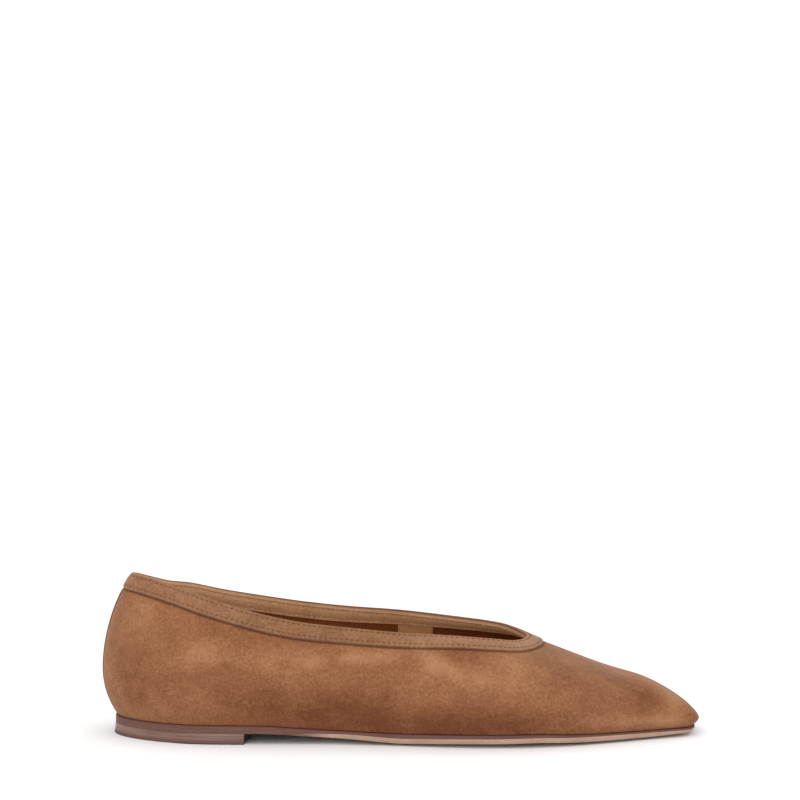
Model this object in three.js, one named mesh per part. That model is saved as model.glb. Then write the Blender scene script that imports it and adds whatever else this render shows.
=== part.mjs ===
// A right flat shoe in soft suede: a low slip-on with a squared, pointed toe, a curved topline in a
// stitched binding, a thin leather outsole and a low heel. Millimetres, +X to the toe, +Y to the
// inner (medial) side of the foot, +Z up, standing on the floor at z = 0.
import * as THREE from "three";
import { mergeVertices } from "three/addons/utils/BufferGeometryUtils.js";

// Driving sizes

const SOLE_LENGTH = 248; // outsole, back of the heel to the front of the toe
const BALL_WIDTH = 76; // last's bottom across the ball
const HEEL_WIDTH = 56; // last's bottom across the heel seat
const TOE_WIDTH = 26; // last's bottom across the squared toe
const HEEL_ROUND = 40; // length of the rounded back of the outline
const FAN_CENTRE = 28; // the sections behind this point turn about it
const TOE_ROUND = 8; // length of the rounded corners of the toe's outline
const TOE_TOP_ROUND = 26; // length over which the vamp rolls down to the toe's front
const THROAT_PLACE = 0.7155; // share of the sole's length behind the throat of the topline
const THROAT_HEIGHT = 40.3; // floor to the vamp at the throat
const BACK_HEIGHT = 67.4; // floor to the upper's edge at the centre of the back
const HEEL_BULGE = 6.1; // how far the back of the upper swells past its foot
const SIDE_BULGE = 3.8; // the same at the sides
const HEEL_SWELL_HEIGHT = 20; // height of the fullest line above the upper's foot, at the back
const TOE_OVERHANG = 3.1; // how far the toe's front leans out over its foot
const TOE_OVERHANG_HEIGHT = 4; // height over which that lean grows
const TOE_OVERHANG_LENGTH = 30; // and its length along the shoe

const WALL = 1.5; // suede with its lining
const BINDING_THICKNESS = 0.7;
const BINDING_SHOULDER = 0.4; // share of its thickness that rounds the corners of the fold
const BINDING_WIDTH = 6.6; // each leg of the folded binding strip
const CLEARANCE = 0.3; // between pieces that lie on each other

const OUTSOLE_THICKNESS = 3.6;
const SOLE_MARGIN = 0.8; // outsole edge past the foot of the upper
const SOLE_BEVEL = 1.1; // bevel under the outsole's edge, across
const SOLE_BEVEL_RISE = 2.2; // and up
const SOLE_CAMBER = 2; // rise of the sole's edge over the middle of the tread
const CAMBER_START = 0.5; // share of the half width where that rise starts
const TOE_SPRING = 2; // rise of the toe's underside
const INSOLE_THICKNESS = 2.4;

const HEEL_LENGTH = 60.5; // back of the sole to the middle of the heel's breast
const BREAST_SKEW = 5; // how much further forward the breast reaches on the inner side
const HEEL_LIFT = 2.6; // the leather heel block
const TOP_PIECE = 1.2; // the rubber piece that it stands on
const HEEL_FLARE = 0.5; // how much wider the heel is at the floor

// Powers of the rounded curves; 2 is an ellipse, more is squarer

const HEEL_OUTLINE_POWER = 2;
const TOE_OUTLINE_POWER = 3;
const TOE_TOP_POWER = 2.5;
const FOOT_POWER = 2.2; // how the wall turns in below its fullest line

// Mesh counts

const COLLAR_STATIONS = 28;
const THROAT_STATIONS = 9;
const THROAT_STRETCH = 34; // length of the closely divided stretch behind the throat
const VAMP_STATIONS = 17;
const SOLE_STATIONS = 38;
const HEEL_STATIONS = 16;
const FOOT_ROWS = 3; // rows from the foot of the wall to its fullest line
const WALL_ROWS = 10; // rows from there to the topline or the ridge
const TOPLINE_HALVINGS = 40; // steps of the search for the topline's row
const LEG_STEPS = 6; // steps down the wall to each point of the binding's legs
const SLOPE_STEP = 1e-3; // step in station and row over which a slope is measured
const MERGE_DISTANCE = 1e-3; // points closer than this are one point
const ROUNDING_ERROR = 1e-9; // a station this close to an end lies on it

// What the sizes above make

const HEEL_STACK = TOP_PIECE + CLEARANCE + HEEL_LIFT + CLEARANCE; // floor to the outsole at the seat
const BACK_RISE = BACK_HEIGHT - THROAT_HEIGHT;
const THROAT_DISTANCE = THROAT_PLACE * SOLE_LENGTH;

// One row for each section of the last, from the back of the sole to its front. `at` is a share of
// SOLE_LENGTH; `lateral` and `medial` are the half widths as shares of `across`; the top of the last
// is `crown` times THROAT_HEIGHT plus `rise` times BACK_RISE; `bulge` and `swell` are the widest
// line's swell and height; `ridge` is the shift of the top line to the inner side, a share of
// BALL_WIDTH; `square` is the power of the section's curve; `lift` is the height of the tread, a
// share of `lifted`; `camber` and `thick` are shares of SOLE_CAMBER and OUTSOLE_THICKNESS; `bevel` is
// the share of the full bevel under the outsole's edge, which the heel seat hasn't.
const SECTIONS = [
  { at: 0, across: HEEL_WIDTH, lateral: 0.45, medial: 0.38, crown: 1, rise: 1.54,
    bulge: HEEL_BULGE, swell: 1, ridge: 0, square: 1.8,
    lifted: HEEL_STACK, lift: 1, camber: 0, thick: 0.845, bevel: 0.12 },
  { at: 0.05, across: HEEL_WIDTH, lateral: 0.465, medial: 0.4, crown: 1, rise: 1.52,
    bulge: HEEL_BULGE * 0.88, swell: 0.98, ridge: 0, square: 1.83,
    lifted: HEEL_STACK, lift: 1, camber: 0, thick: 0.845, bevel: 0.12 },
  { at: 0.1, across: HEEL_WIDTH, lateral: 0.495, medial: 0.43, crown: 1, rise: 1.47,
    bulge: HEEL_BULGE * 0.74, swell: 0.94, ridge: 0, square: 1.88,
    lifted: HEEL_STACK, lift: 1, camber: 0, thick: 0.845, bevel: 0.12 },
  { at: 0.17, across: HEEL_WIDTH, lateral: 0.54, medial: 0.462, crown: 1, rise: 1.35,
    bulge: SIDE_BULGE * 1.08, swell: 0.88, ridge: 0, square: 1.95,
    lifted: HEEL_STACK, lift: 1, camber: 0, thick: 0.845, bevel: 0.12 },
  { at: 0.25, across: HEEL_WIDTH, lateral: 0.556, medial: 0.458, crown: 1, rise: 1.15,
    bulge: SIDE_BULGE, swell: 0.83, ridge: 0.003, square: 2,
    lifted: HEEL_STACK, lift: 1, camber: 0, thick: 0.845, bevel: 0.12 },
  { at: 0.32, across: HEEL_WIDTH, lateral: 0.567, medial: 0.446, crown: 1, rise: 0.97,
    bulge: SIDE_BULGE * 0.96, swell: 0.79, ridge: 0.008, square: 2,
    lifted: HEEL_STACK, lift: 0.78, camber: 0.14, thick: 0.8, bevel: 0.5 },
  { at: 0.4, across: HEEL_WIDTH, lateral: 0.59, medial: 0.455, crown: 1, rise: 0.77,
    bulge: SIDE_BULGE * 0.95, swell: 0.75, ridge: 0.014, square: 2,
    lifted: HEEL_STACK, lift: 0.4, camber: 0.44, thick: 0.85, bevel: 0.9 },
  { at: 0.5, across: BALL_WIDTH, lateral: 0.474, medial: 0.366, crown: 1, rise: 0.55,
    bulge: SIDE_BULGE * 0.9, swell: 0.69, ridge: 0.026, square: 2,
    lifted: HEEL_STACK, lift: 0.02, camber: 0.53, thick: 1.09, bevel: 1 },
  { at: 0.585, across: BALL_WIDTH, lateral: 0.52, medial: 0.428, crown: 1, rise: 0.39,
    bulge: SIDE_BULGE * 0.8, swell: 0.62, ridge: 0.033, square: 2.02,
    lifted: HEEL_STACK, lift: 0, camber: 0.82, thick: 1.01, bevel: 1 },
  { at: 0.655, across: BALL_WIDTH, lateral: 0.533, medial: 0.467, crown: 1, rise: 0.26,
    bulge: SIDE_BULGE * 0.68, swell: 0.57, ridge: 0.034, square: 2.06,
    lifted: HEEL_STACK, lift: 0, camber: 0.91, thick: 1, bevel: 1 },
  { at: THROAT_PLACE, across: BALL_WIDTH, lateral: 0.517, medial: 0.471, crown: 1, rise: 0,
    bulge: SIDE_BULGE * 0.62, swell: 0.52, ridge: 0.03, square: 2.15,
    lifted: TOE_SPRING, lift: 0, camber: 1, thick: 0.95, bevel: 1 },
  { at: 0.78, across: BALL_WIDTH, lateral: 0.468, medial: 0.434, crown: 0.841, rise: 0,
    bulge: SIDE_BULGE * 0.58, swell: 0.47, ridge: 0.022, square: 2.35,
    lifted: TOE_SPRING, lift: 0.015, camber: 0.74, thick: 0.88, bevel: 1 },
  { at: 0.85, across: BALL_WIDTH, lateral: 0.382, medial: 0.355, crown: 0.68, rise: 0,
    bulge: SIDE_BULGE * 0.5, swell: 0.4, ridge: 0.012, square: 2.7,
    lifted: TOE_SPRING, lift: 0.11, camber: 0.52, thick: 0.82, bevel: 1 },
  { at: 0.925, across: TOE_WIDTH, lateral: 0.79, medial: 0.75, crown: 0.542, rise: 0,
    bulge: SIDE_BULGE * 0.4, swell: 0.325, ridge: 0.004, square: 3,
    lifted: TOE_SPRING, lift: 0.4, camber: 0.22, thick: 0.72, bevel: 0.85 },
  { at: 1, across: TOE_WIDTH, lateral: 0.5, medial: 0.5, crown: 0.355, rise: 0,
    bulge: SIDE_BULGE * 0.26, swell: 0.25, ridge: 0, square: 3.1,
    lifted: TOE_SPRING, lift: 1, camber: 0, thick: 0.48, bevel: 0.5 },
];

// Height of the topline over the throat, as shares of BACK_RISE. `at` is a share of THROAT_DISTANCE.
const TOPLINE = [
  { at: 0, lateral: 1, medial: 1 },
  { at: 0.06, lateral: 0.974, medial: 0.885 },
  { at: 0.11, lateral: 0.92, medial: 0.8 },
  { at: 0.16, lateral: 0.852, medial: 0.76 },
  { at: 0.236, lateral: 0.69, medial: 0.65 },
  { at: 0.347, lateral: 0.483, medial: 0.534 },
  { at: 0.444, lateral: 0.345, medial: 0.45 },
  { at: 0.556, lateral: 0.256, medial: 0.378 },
  { at: 0.694, lateral: 0.168, medial: 0.316 },
  { at: 0.8125, lateral: 0.12, medial: 0.222 },
  { at: 0.91, lateral: 0.062, medial: 0.135 },
  { at: 0.96, lateral: 0.016, medial: 0.088 },
  { at: 1, lateral: 0, medial: 0 },
];

const MATERIALS = {
  suede: new THREE.MeshStandardMaterial({ color: 0xa26a45, roughness: 0.95 }),
  binding: new THREE.MeshStandardMaterial({ color: 0xa9755a, roughness: 0.95 }),
  edge: new THREE.MeshStandardMaterial({ color: 0x83625a, roughness: 0.55 }),
  sole: new THREE.MeshStandardMaterial({ color: 0xc7a183, roughness: 0.6 }),
  rubber: new THREE.MeshStandardMaterial({ color: 0x4c4440, roughness: 0.7 }),
  sock: new THREE.MeshStandardMaterial({ color: 0xb98a5e, roughness: 0.6 }),
};

// Curves

// A smooth curve through the rows (x, y) that never overshoots them, as a function of x.
function curveThrough(xs, ys) {
  const secants = xs.slice(1).map((x, i) => (ys[i + 1] - ys[i]) / (x - xs[i]));
  const slopes = xs.map((_, i) => {
    const before = secants[Math.max(i - 1, 0)];
    const after = secants[Math.min(i, secants.length - 1)];
    if (before * after <= 0) return 0;
    const middle = (before + after) / 2;
    return Math.sign(middle) * Math.min(Math.abs(middle), 3 * Math.abs(before), 3 * Math.abs(after));
  });
  return (x) => {
    const clamped = Math.min(Math.max(x, xs[0]), xs.at(-1));
    const i = Math.max(0, Math.min(xs.findIndex((knot) => knot >= clamped) - 1, secants.length - 1));
    const span = xs[i + 1] - xs[i];
    const t = (clamped - xs[i]) / span;
    const s = 1 - t;
    return (
      ys[i] * (1 + 2 * t) * s * s +
      ys[i + 1] * (3 - 2 * t) * t * t +
      span * slopes[i] * t * s * s -
      span * slopes[i + 1] * t * t * s
    );
  };
}

const sectionCurve = (value) =>
  curveThrough(SECTIONS.map((row) => row.at * SOLE_LENGTH), SECTIONS.map(value));

const last = {
  lateral: sectionCurve((row) => row.lateral * row.across),
  medial: sectionCurve((row) => row.medial * row.across),
  crown: sectionCurve((row) => row.crown * THROAT_HEIGHT + row.rise * BACK_RISE),
  bulge: sectionCurve((row) => row.bulge),
  swell: sectionCurve((row) => row.swell * HEEL_SWELL_HEIGHT),
  ridge: sectionCurve((row) => row.ridge * BALL_WIDTH),
  square: sectionCurve((row) => row.square),
  tread: sectionCurve((row) => row.lift * row.lifted),
  camber: sectionCurve((row) => row.camber * SOLE_CAMBER),
  thickness: sectionCurve((row) => row.thick * OUTSOLE_THICKNESS),
  bevel: sectionCurve((row) => row.bevel),
};

const toplineCurve = (side) =>
  curveThrough(
    TOPLINE.map((row) => row.at * THROAT_DISTANCE),
    TOPLINE.map((row) => THROAT_HEIGHT + row[side] * BACK_RISE),
  );
const topline = { lateral: toplineCurve("lateral"), medial: toplineCurve("medial") };

// Share of the full height or width left where a rounded end of this length and power closes.
function roundedEnd(distance, length, power) {
  if (distance < ROUNDING_ERROR) return 0;
  const into = Math.max(1 - distance / length, 0);
  return (1 - into ** power) ** (1 / power);
}

// Stations run from 0 at the back to 1 at the toe, and crowd together at both ends.
const stationToLength = (station, inset) =>
  inset + (SOLE_LENGTH - 2 * inset) * (1 - Math.cos(Math.PI * station)) / 2;
const lengthToStation = (x, inset) =>
  Math.acos(1 - 2 * (x - inset) / (SOLE_LENGTH - 2 * inset)) / Math.PI;

// The sole's outline, drawn in by `inset`: the length along the shoe, the two half widths, and the
// share of them that the rounded ends leave.
function outline(station, inset) {
  const x = stationToLength(station, inset);
  const ends =
    roundedEnd(x - inset, HEEL_ROUND - inset, HEEL_OUTLINE_POWER) *
    roundedEnd(SOLE_LENGTH - inset - x, TOE_ROUND - inset / 2, TOE_OUTLINE_POWER);
  return {
    x,
    ends,
    lateral: (last.lateral(x) + SOLE_MARGIN - inset) * ends,
    medial: (last.medial(x) + SOLE_MARGIN - inset) * ends,
  };
}

// Rise of the sole's surfaces towards its edge, at a share of the half width.
const camberAt = (x, across) =>
  last.camber(x) * (Math.max(Math.abs(across) - CAMBER_START, 0) / (1 - CAMBER_START)) ** 2;
const treadHeight = (x, across) => last.tread(x) + camberAt(x, across);
const seatHeight = (x, across) => treadHeight(x, across) + last.thickness(x);
const footHeight = (x) => seatHeight(x, 1) + CLEARANCE; // foot of the upper

// The upper's outer surface, drawn in by `inset`. `row` runs across it: 0 on the ridge, 1 on the
// fullest line and 2 at the foot, below zero on the lateral side and above on the medial side.
function upperPoint(station, row, inset = 0) {
  if (station < 0) return upperPoint(-station, -row, inset);
  const side = row < 0 ? "lateral" : "medial";
  const edge = outline(station, SOLE_MARGIN + inset);
  const spineX = Math.max(edge.x, FAN_CENTRE);
  const spineY = last.ridge(spineX);
  const across = new THREE.Vector2(edge.x - spineX, (row < 0 ? -1 : 1) * edge[side] - spineY);
  const reach = across.length();
  if (reach > 0) across.divideScalar(reach);

  const front = SOLE_LENGTH - SOLE_MARGIN - inset;
  const toeRoll = roundedEnd(front - edge.x, TOE_TOP_ROUND, TOE_TOP_POWER);
  const toePlan = roundedEnd(front - edge.x, TOE_ROUND, TOE_OUTLINE_POWER);
  const foot = footHeight(edge.x);
  const height = Math.max(last.crown(edge.x) - foot - inset, 0) * toeRoll;
  const swell = last.swell(edge.x) * toeRoll;
  const bulge = last.bulge(edge.x) * toePlan;

  let out;
  let up;
  if (Math.abs(row) <= 1) {
    const angle = (Math.abs(row) * Math.PI) / 2;
    const power = last.square(edge.x);
    const size = (Math.sin(angle) ** power + Math.cos(angle) ** power) ** (-1 / power);
    out = (reach + bulge) * size * Math.sin(angle);
    up = swell + (height - swell) * size * Math.cos(angle);
  } else {
    const down = Math.abs(row) - 1;
    out = reach + bulge * (1 - down ** FOOT_POWER);
    up = swell * (1 - down);
  }
  const lean = Math.max(0, 1 - (front - edge.x) / TOE_OVERHANG_LENGTH) ** 2;
  const rolled = 1 - (1 - Math.min(up / TOE_OVERHANG_HEIGHT, 1)) ** 2;
  return new THREE.Vector3(
    spineX + across.x * out + TOE_OVERHANG * lean * rolled,
    spineY + across.y * out,
    foot + up,
  );
}

// The row of the surface at which a wall reaches the topline.
function toplineRow(station, sign) {
  const x = stationToLength(station, SOLE_MARGIN);
  const height = topline[sign < 0 || station === 0 ? "lateral" : "medial"](x);
  let low = 0;
  let high = 1;
  for (let halving = 0; halving < TOPLINE_HALVINGS; halving++) {
    const middle = (low + high) / 2;
    if (upperPoint(station, sign * middle).z > height) low = middle;
    else high = middle;
  }
  return sign * low;
}

// Solids

// A closed mesh from strips between rings of points. Rings may shrink to a point or a line at an
// end; points that coincide are merged and the faces that vanish are dropped.
function solidFrom(strips) {
  const positions = strips.flatMap(([a, b, c]) => [a, b, c]).flatMap((p) => [p.x, p.y, p.z]);
  const loose = new THREE.BufferGeometry();
  loose.setAttribute("position", new THREE.Float32BufferAttribute(positions, 3));
  const merged = mergeVertices(loose, MERGE_DISTANCE);
  const kept = [];
  for (let i = 0; i < merged.index.count; i += 3) {
    const [a, b, c] = [0, 1, 2].map((k) => merged.index.getX(i + k));
    if (a !== b && b !== c && c !== a) kept.push(a, b, c);
  }
  merged.setIndex(kept);
  merged.computeVertexNormals();
  return merged;
}

// Triangles between two closed rings with as many points.
function between(first, second) {
  const triangles = [];
  first.forEach((a, i) => {
    const b = first[(i + 1) % first.length];
    const c = second[(i + 1) % first.length];
    const d = second[i];
    triangles.push([a, c, b], [a, d, c]);
  });
  return triangles;
}

const loft = (rings) => rings.slice(1).flatMap((ring, i) => between(rings[i], ring));

// Triangles that close a flat-sided ring whose second half runs back along its first half.
function endCap(ring) {
  const triangles = [];
  for (let i = 0; i < ring.length / 2 - 1; i++) {
    const j = ring.length - 1 - i;
    triangles.push([ring[i], ring[j - 1], ring[i + 1]], [ring[i], ring[j], ring[j - 1]]);
  }
  return triangles;
}

const evenly = (count, from, to) =>
  Array.from({ length: count + 1 }, (_, i) => from + ((to - from) * i) / count);

// Stations

const throatStation = lengthToStation(THROAT_DISTANCE, SOLE_MARGIN);
const stretchStation = lengthToStation(THROAT_DISTANCE - THROAT_STRETCH, SOLE_MARGIN);
const collarStations = [
  ...evenly(COLLAR_STATIONS, 0, stretchStation),
  ...evenly(THROAT_STATIONS, 0, 1)
    .slice(1, -1)
    .map((t) => stretchStation + (throatStation - stretchStation) * Math.sin((t * Math.PI) / 2)),
  throatStation,
];
const vampStations = evenly(VAMP_STATIONS, throatStation, 1);

// Upper: one hollow wall, open at the collar and underneath

function wallRows(sign, top) {
  const foot = evenly(FOOT_ROWS, 2, 1).map((row) => row * sign);
  const wall = evenly(WALL_ROWS, sign, top).slice(1);
  return [...foot, ...wall];
}

function makeUpper() {
  const outer = (station, rows) => rows.map((row) => upperPoint(station, row));
  const inner = (station, rows) => rows.map((row) => upperPoint(station, row, WALL));
  const sideRing = (sign) => (station) => {
    const top = station === throatStation ? 0 : toplineRow(station, sign);
    const rising = wallRows(sign, top);
    const around = sign < 0 ? rising : [...rising].reverse();
    return [...outer(station, around), ...inner(station, [...around].reverse())];
  };
  const archRing = (station) => {
    const across = [...wallRows(-1, 0), ...wallRows(1, 0).reverse().slice(1)];
    return [...outer(station, across), ...inner(station, [...across].reverse())];
  };
  return solidFrom([
    ...loft(collarStations.map(sideRing(-1))),
    ...loft(collarStations.map(sideRing(1))),
    ...loft(vampStations.map(archRing)),
  ]);
}

// Binding: a strip folded over the topline, with a leg on each face of the wall

function surfaceFrame(station, row, along) {
  const byStation = upperPoint(station + SLOPE_STEP, row).sub(upperPoint(station - SLOPE_STEP, row));
  const byRow = upperPoint(station, row + SLOPE_STEP).sub(upperPoint(station, row - SLOPE_STEP));
  const normal = byStation.clone().cross(byRow).normalize();
  const down = along.clone().cross(normal).normalize();
  // the step in station and row that moves one millimetre down the wall
  const e = byStation.divideScalar(2 * SLOPE_STEP);
  const f = byRow.divideScalar(2 * SLOPE_STEP);
  const [ee, ef, ff] = [e.dot(e), e.dot(f), f.dot(f)];
  const [de, df] = [down.dot(e), down.dot(f)];
  const area = ee * ff - ef * ef;
  return { down, stepStation: (de * ff - df * ef) / area, stepRow: (df * ee - de * ef) / area };
}

function bindingRing(here, along) {
  const legDepths = [0, BINDING_WIDTH / 2, BINDING_WIDTH];
  const top = surfaceFrame(here.station, here.row, along);
  const onWall = legDepths.map((depth) => {
    let { station, row } = here;
    for (let i = 0; i < LEG_STEPS; i++) {
      const { stepStation, stepRow } = surfaceFrame(station, row, along);
      station += (stepStation * depth) / LEG_STEPS;
      row += (stepRow * depth) / LEG_STEPS;
    }
    return { station, row };
  });
  const face = (offset, list) => list.map((p) => upperPoint(p.station, p.row, -offset));
  const above = (offset, height) =>
    upperPoint(here.station, here.row, -offset).addScaledVector(top.down, -height);

  const outside = CLEARANCE + BINDING_THICKNESS;
  const inside = -WALL - CLEARANCE - BINDING_THICKNESS;
  const roll = CLEARANCE + BINDING_THICKNESS;
  const shoulder = BINDING_SHOULDER * BINDING_THICKNESS;
  const downwards = onWall;
  const upwards = [...onWall].reverse();
  return [
    ...face(outside, upwards),
    above(outside - shoulder, CLEARANCE + BINDING_THICKNESS - shoulder),
    above(-WALL / 2, roll),
    above(inside + shoulder, CLEARANCE + BINDING_THICKNESS - shoulder),
    ...face(inside, downwards),
    ...face(-WALL - CLEARANCE, upwards.slice(0, -1)),
    above(-WALL - CLEARANCE, CLEARANCE),
    above(CLEARANCE, CLEARANCE),
    ...face(CLEARANCE, downwards.slice(1)),
  ];
}

function makeBinding() {
  const side = (sign) => collarStations.map((station) => ({
    station,
    row: station === throatStation ? 0 : toplineRow(station, sign),
  }));
  const lateral = side(-1);
  const medial = side(1);
  const loop = [...lateral, ...medial.reverse().slice(1, -1)];
  const edge = loop.map((p) => upperPoint(p.station, p.row));
  const rings = loop.map((p, i) => {
    const before = edge[(i + edge.length - 1) % edge.length];
    const after = edge[(i + 1) % edge.length];
    return bindingRing(p, after.clone().sub(before).normalize());
  });
  return solidFrom(loft([...rings, rings[0]]));
}

// Outsole, insole and heel

// A ring around a plate at one station: over the top from the lateral to the medial edge and back
// underneath. `shares` are places across the half width; each face has its own inset and height.
function plateRing(station, shares, top, bottom, middle = []) {
  const place = ({ inset, height }, share) => {
    const edge = outline(station, inset);
    const y = share < 0 ? share * edge.lateral : share * edge.medial;
    return new THREE.Vector3(edge.x, y, height(edge.x, share * edge.ends));
  };
  return [
    ...shares.map((share) => place(top, share)),
    ...middle.map((level) => place(level, 1)),
    ...[...shares].reverse().map((share) => place(bottom, share)),
    ...[...middle].reverse().map((level) => place(level, -1)),
  ];
}

const ACROSS = [-1, -0.83, -0.67, -0.5, 0, 0.5, 0.67, 0.83, 1];

function makeOutsole() {
  const rings = evenly(SOLE_STATIONS, 0, 1).map((station) => {
    const bevel = last.bevel(stationToLength(station, 0));
    const top = { inset: 0, height: seatHeight };
    const bevelTop = { inset: 0, height: (x, share) => treadHeight(x, share) + bevel * SOLE_BEVEL_RISE };
    const bottom = { inset: bevel * SOLE_BEVEL, height: treadHeight };
    return plateRing(station, ACROSS, top, bottom, [bevelTop]);
  });
  return solidFrom(loft(rings));
}

function makeInsole() {
  const inset = SOLE_MARGIN + WALL + CLEARANCE;
  const bottom = { inset, height: (x, share) => seatHeight(x, share) + CLEARANCE };
  const top = { inset, height: (x, share) => seatHeight(x, share) + CLEARANCE + INSOLE_THICKNESS };
  const rings = evenly(SOLE_STATIONS, 0, 1).map((station) => plateRing(station, ACROSS, top, bottom));
  return solidFrom(loft(rings));
}

// A flat layer of the heel: the back of the sole's outline, cut off by the slanting breast.
function makeHeelLayer(bottom, thickness) {
  const flare = (z) => HEEL_FLARE * (1 - z / HEEL_STACK);
  const level = (station, z) => {
    const { lateral, medial } = outline(station, -flare(z));
    const x = outline(station, -flare(z)).x;
    const turn = (x / HEEL_LENGTH) ** 2 * (BREAST_SKEW / (lateral + medial || 1));
    return { lateral: [x - turn * lateral, -lateral], medial: [x + turn * medial, medial] };
  };
  const corner = (station, z, side) => new THREE.Vector3(...level(station, z)[side], z);
  const topZ = bottom + thickness;
  const rings = evenly(HEEL_STATIONS, 0, lengthToStation(HEEL_LENGTH, 0)).map((station) => [
    corner(station, topZ, "lateral"),
    corner(station, topZ, "medial"),
    corner(station, bottom, "medial"),
    corner(station, bottom, "lateral"),
  ]);
  return solidFrom([...loft(rings), ...endCap(rings.at(-1))]);
}

// Assembly

function piece(name, geometry, material) {
  const mesh = new THREE.Mesh(geometry, material);
  mesh.name = name;
  return mesh;
}

const shoe = new THREE.Group();
shoe.add(
  piece("heel_top_piece", makeHeelLayer(0, TOP_PIECE), MATERIALS.rubber),
  piece("heel_block", makeHeelLayer(TOP_PIECE + CLEARANCE, HEEL_LIFT), MATERIALS.edge),
  piece("outsole", makeOutsole(), MATERIALS.sole),
  piece("insole", makeInsole(), MATERIALS.sock),
  piece("upper", makeUpper(), MATERIALS.suede),
  piece("topline_binding", makeBinding(), MATERIALS.binding),
);

// The origin is under the middle of the shoe, on the floor.
const middle = new THREE.Box3().setFromObject(shoe).getCenter(new THREE.Vector3());
shoe.position.set(-middle.x, -middle.y, 0);

export default shoe;
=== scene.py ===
"""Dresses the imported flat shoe: suede upper, bound topline with its stitches, lining, sock and sole."""

from __future__ import annotations

import logging
import math
from dataclasses import dataclass, field
from enum import Enum
from typing import Any, Callable, NamedTuple

import bmesh
import bpy
import numpy as np
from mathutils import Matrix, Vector
from mathutils.kdtree import KDTree

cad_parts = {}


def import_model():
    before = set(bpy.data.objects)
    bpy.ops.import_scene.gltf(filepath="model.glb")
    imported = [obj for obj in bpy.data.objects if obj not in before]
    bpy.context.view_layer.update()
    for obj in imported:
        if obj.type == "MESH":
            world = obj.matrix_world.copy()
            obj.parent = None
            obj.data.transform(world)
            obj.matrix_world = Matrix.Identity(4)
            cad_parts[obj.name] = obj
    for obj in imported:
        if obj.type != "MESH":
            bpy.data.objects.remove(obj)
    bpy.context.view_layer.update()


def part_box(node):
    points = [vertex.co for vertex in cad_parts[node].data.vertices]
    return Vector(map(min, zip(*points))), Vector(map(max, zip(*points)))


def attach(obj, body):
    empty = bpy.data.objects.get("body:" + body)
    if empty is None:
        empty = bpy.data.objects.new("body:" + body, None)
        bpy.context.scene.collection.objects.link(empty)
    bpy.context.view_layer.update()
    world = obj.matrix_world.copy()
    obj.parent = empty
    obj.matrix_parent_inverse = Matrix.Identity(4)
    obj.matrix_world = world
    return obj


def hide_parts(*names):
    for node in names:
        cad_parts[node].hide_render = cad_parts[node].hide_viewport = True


log = logging.getLogger("flat_shoe")

Array = np.ndarray
MM = 0.001
ROUNDING_ERROR = 1e-9
MERGE_DISTANCE = 2e-6
SHORTEST_EDGE = 1e-7
RATE_STEP = 1e-4


class Side(Enum):
    """The two walls of the shoe, by the sign of their rows and of their place across."""

    LATERAL = -1
    MEDIAL = 1


class LastSection(NamedTuple):
    """One section of the last. Widths, heights and swells are millimetres."""

    at: float
    lateral: float
    medial: float
    crown: float
    bulge: float
    swell: float
    ridge: float
    square: float
    tread: float
    camber: float
    thickness: float
    bevel: float


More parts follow.
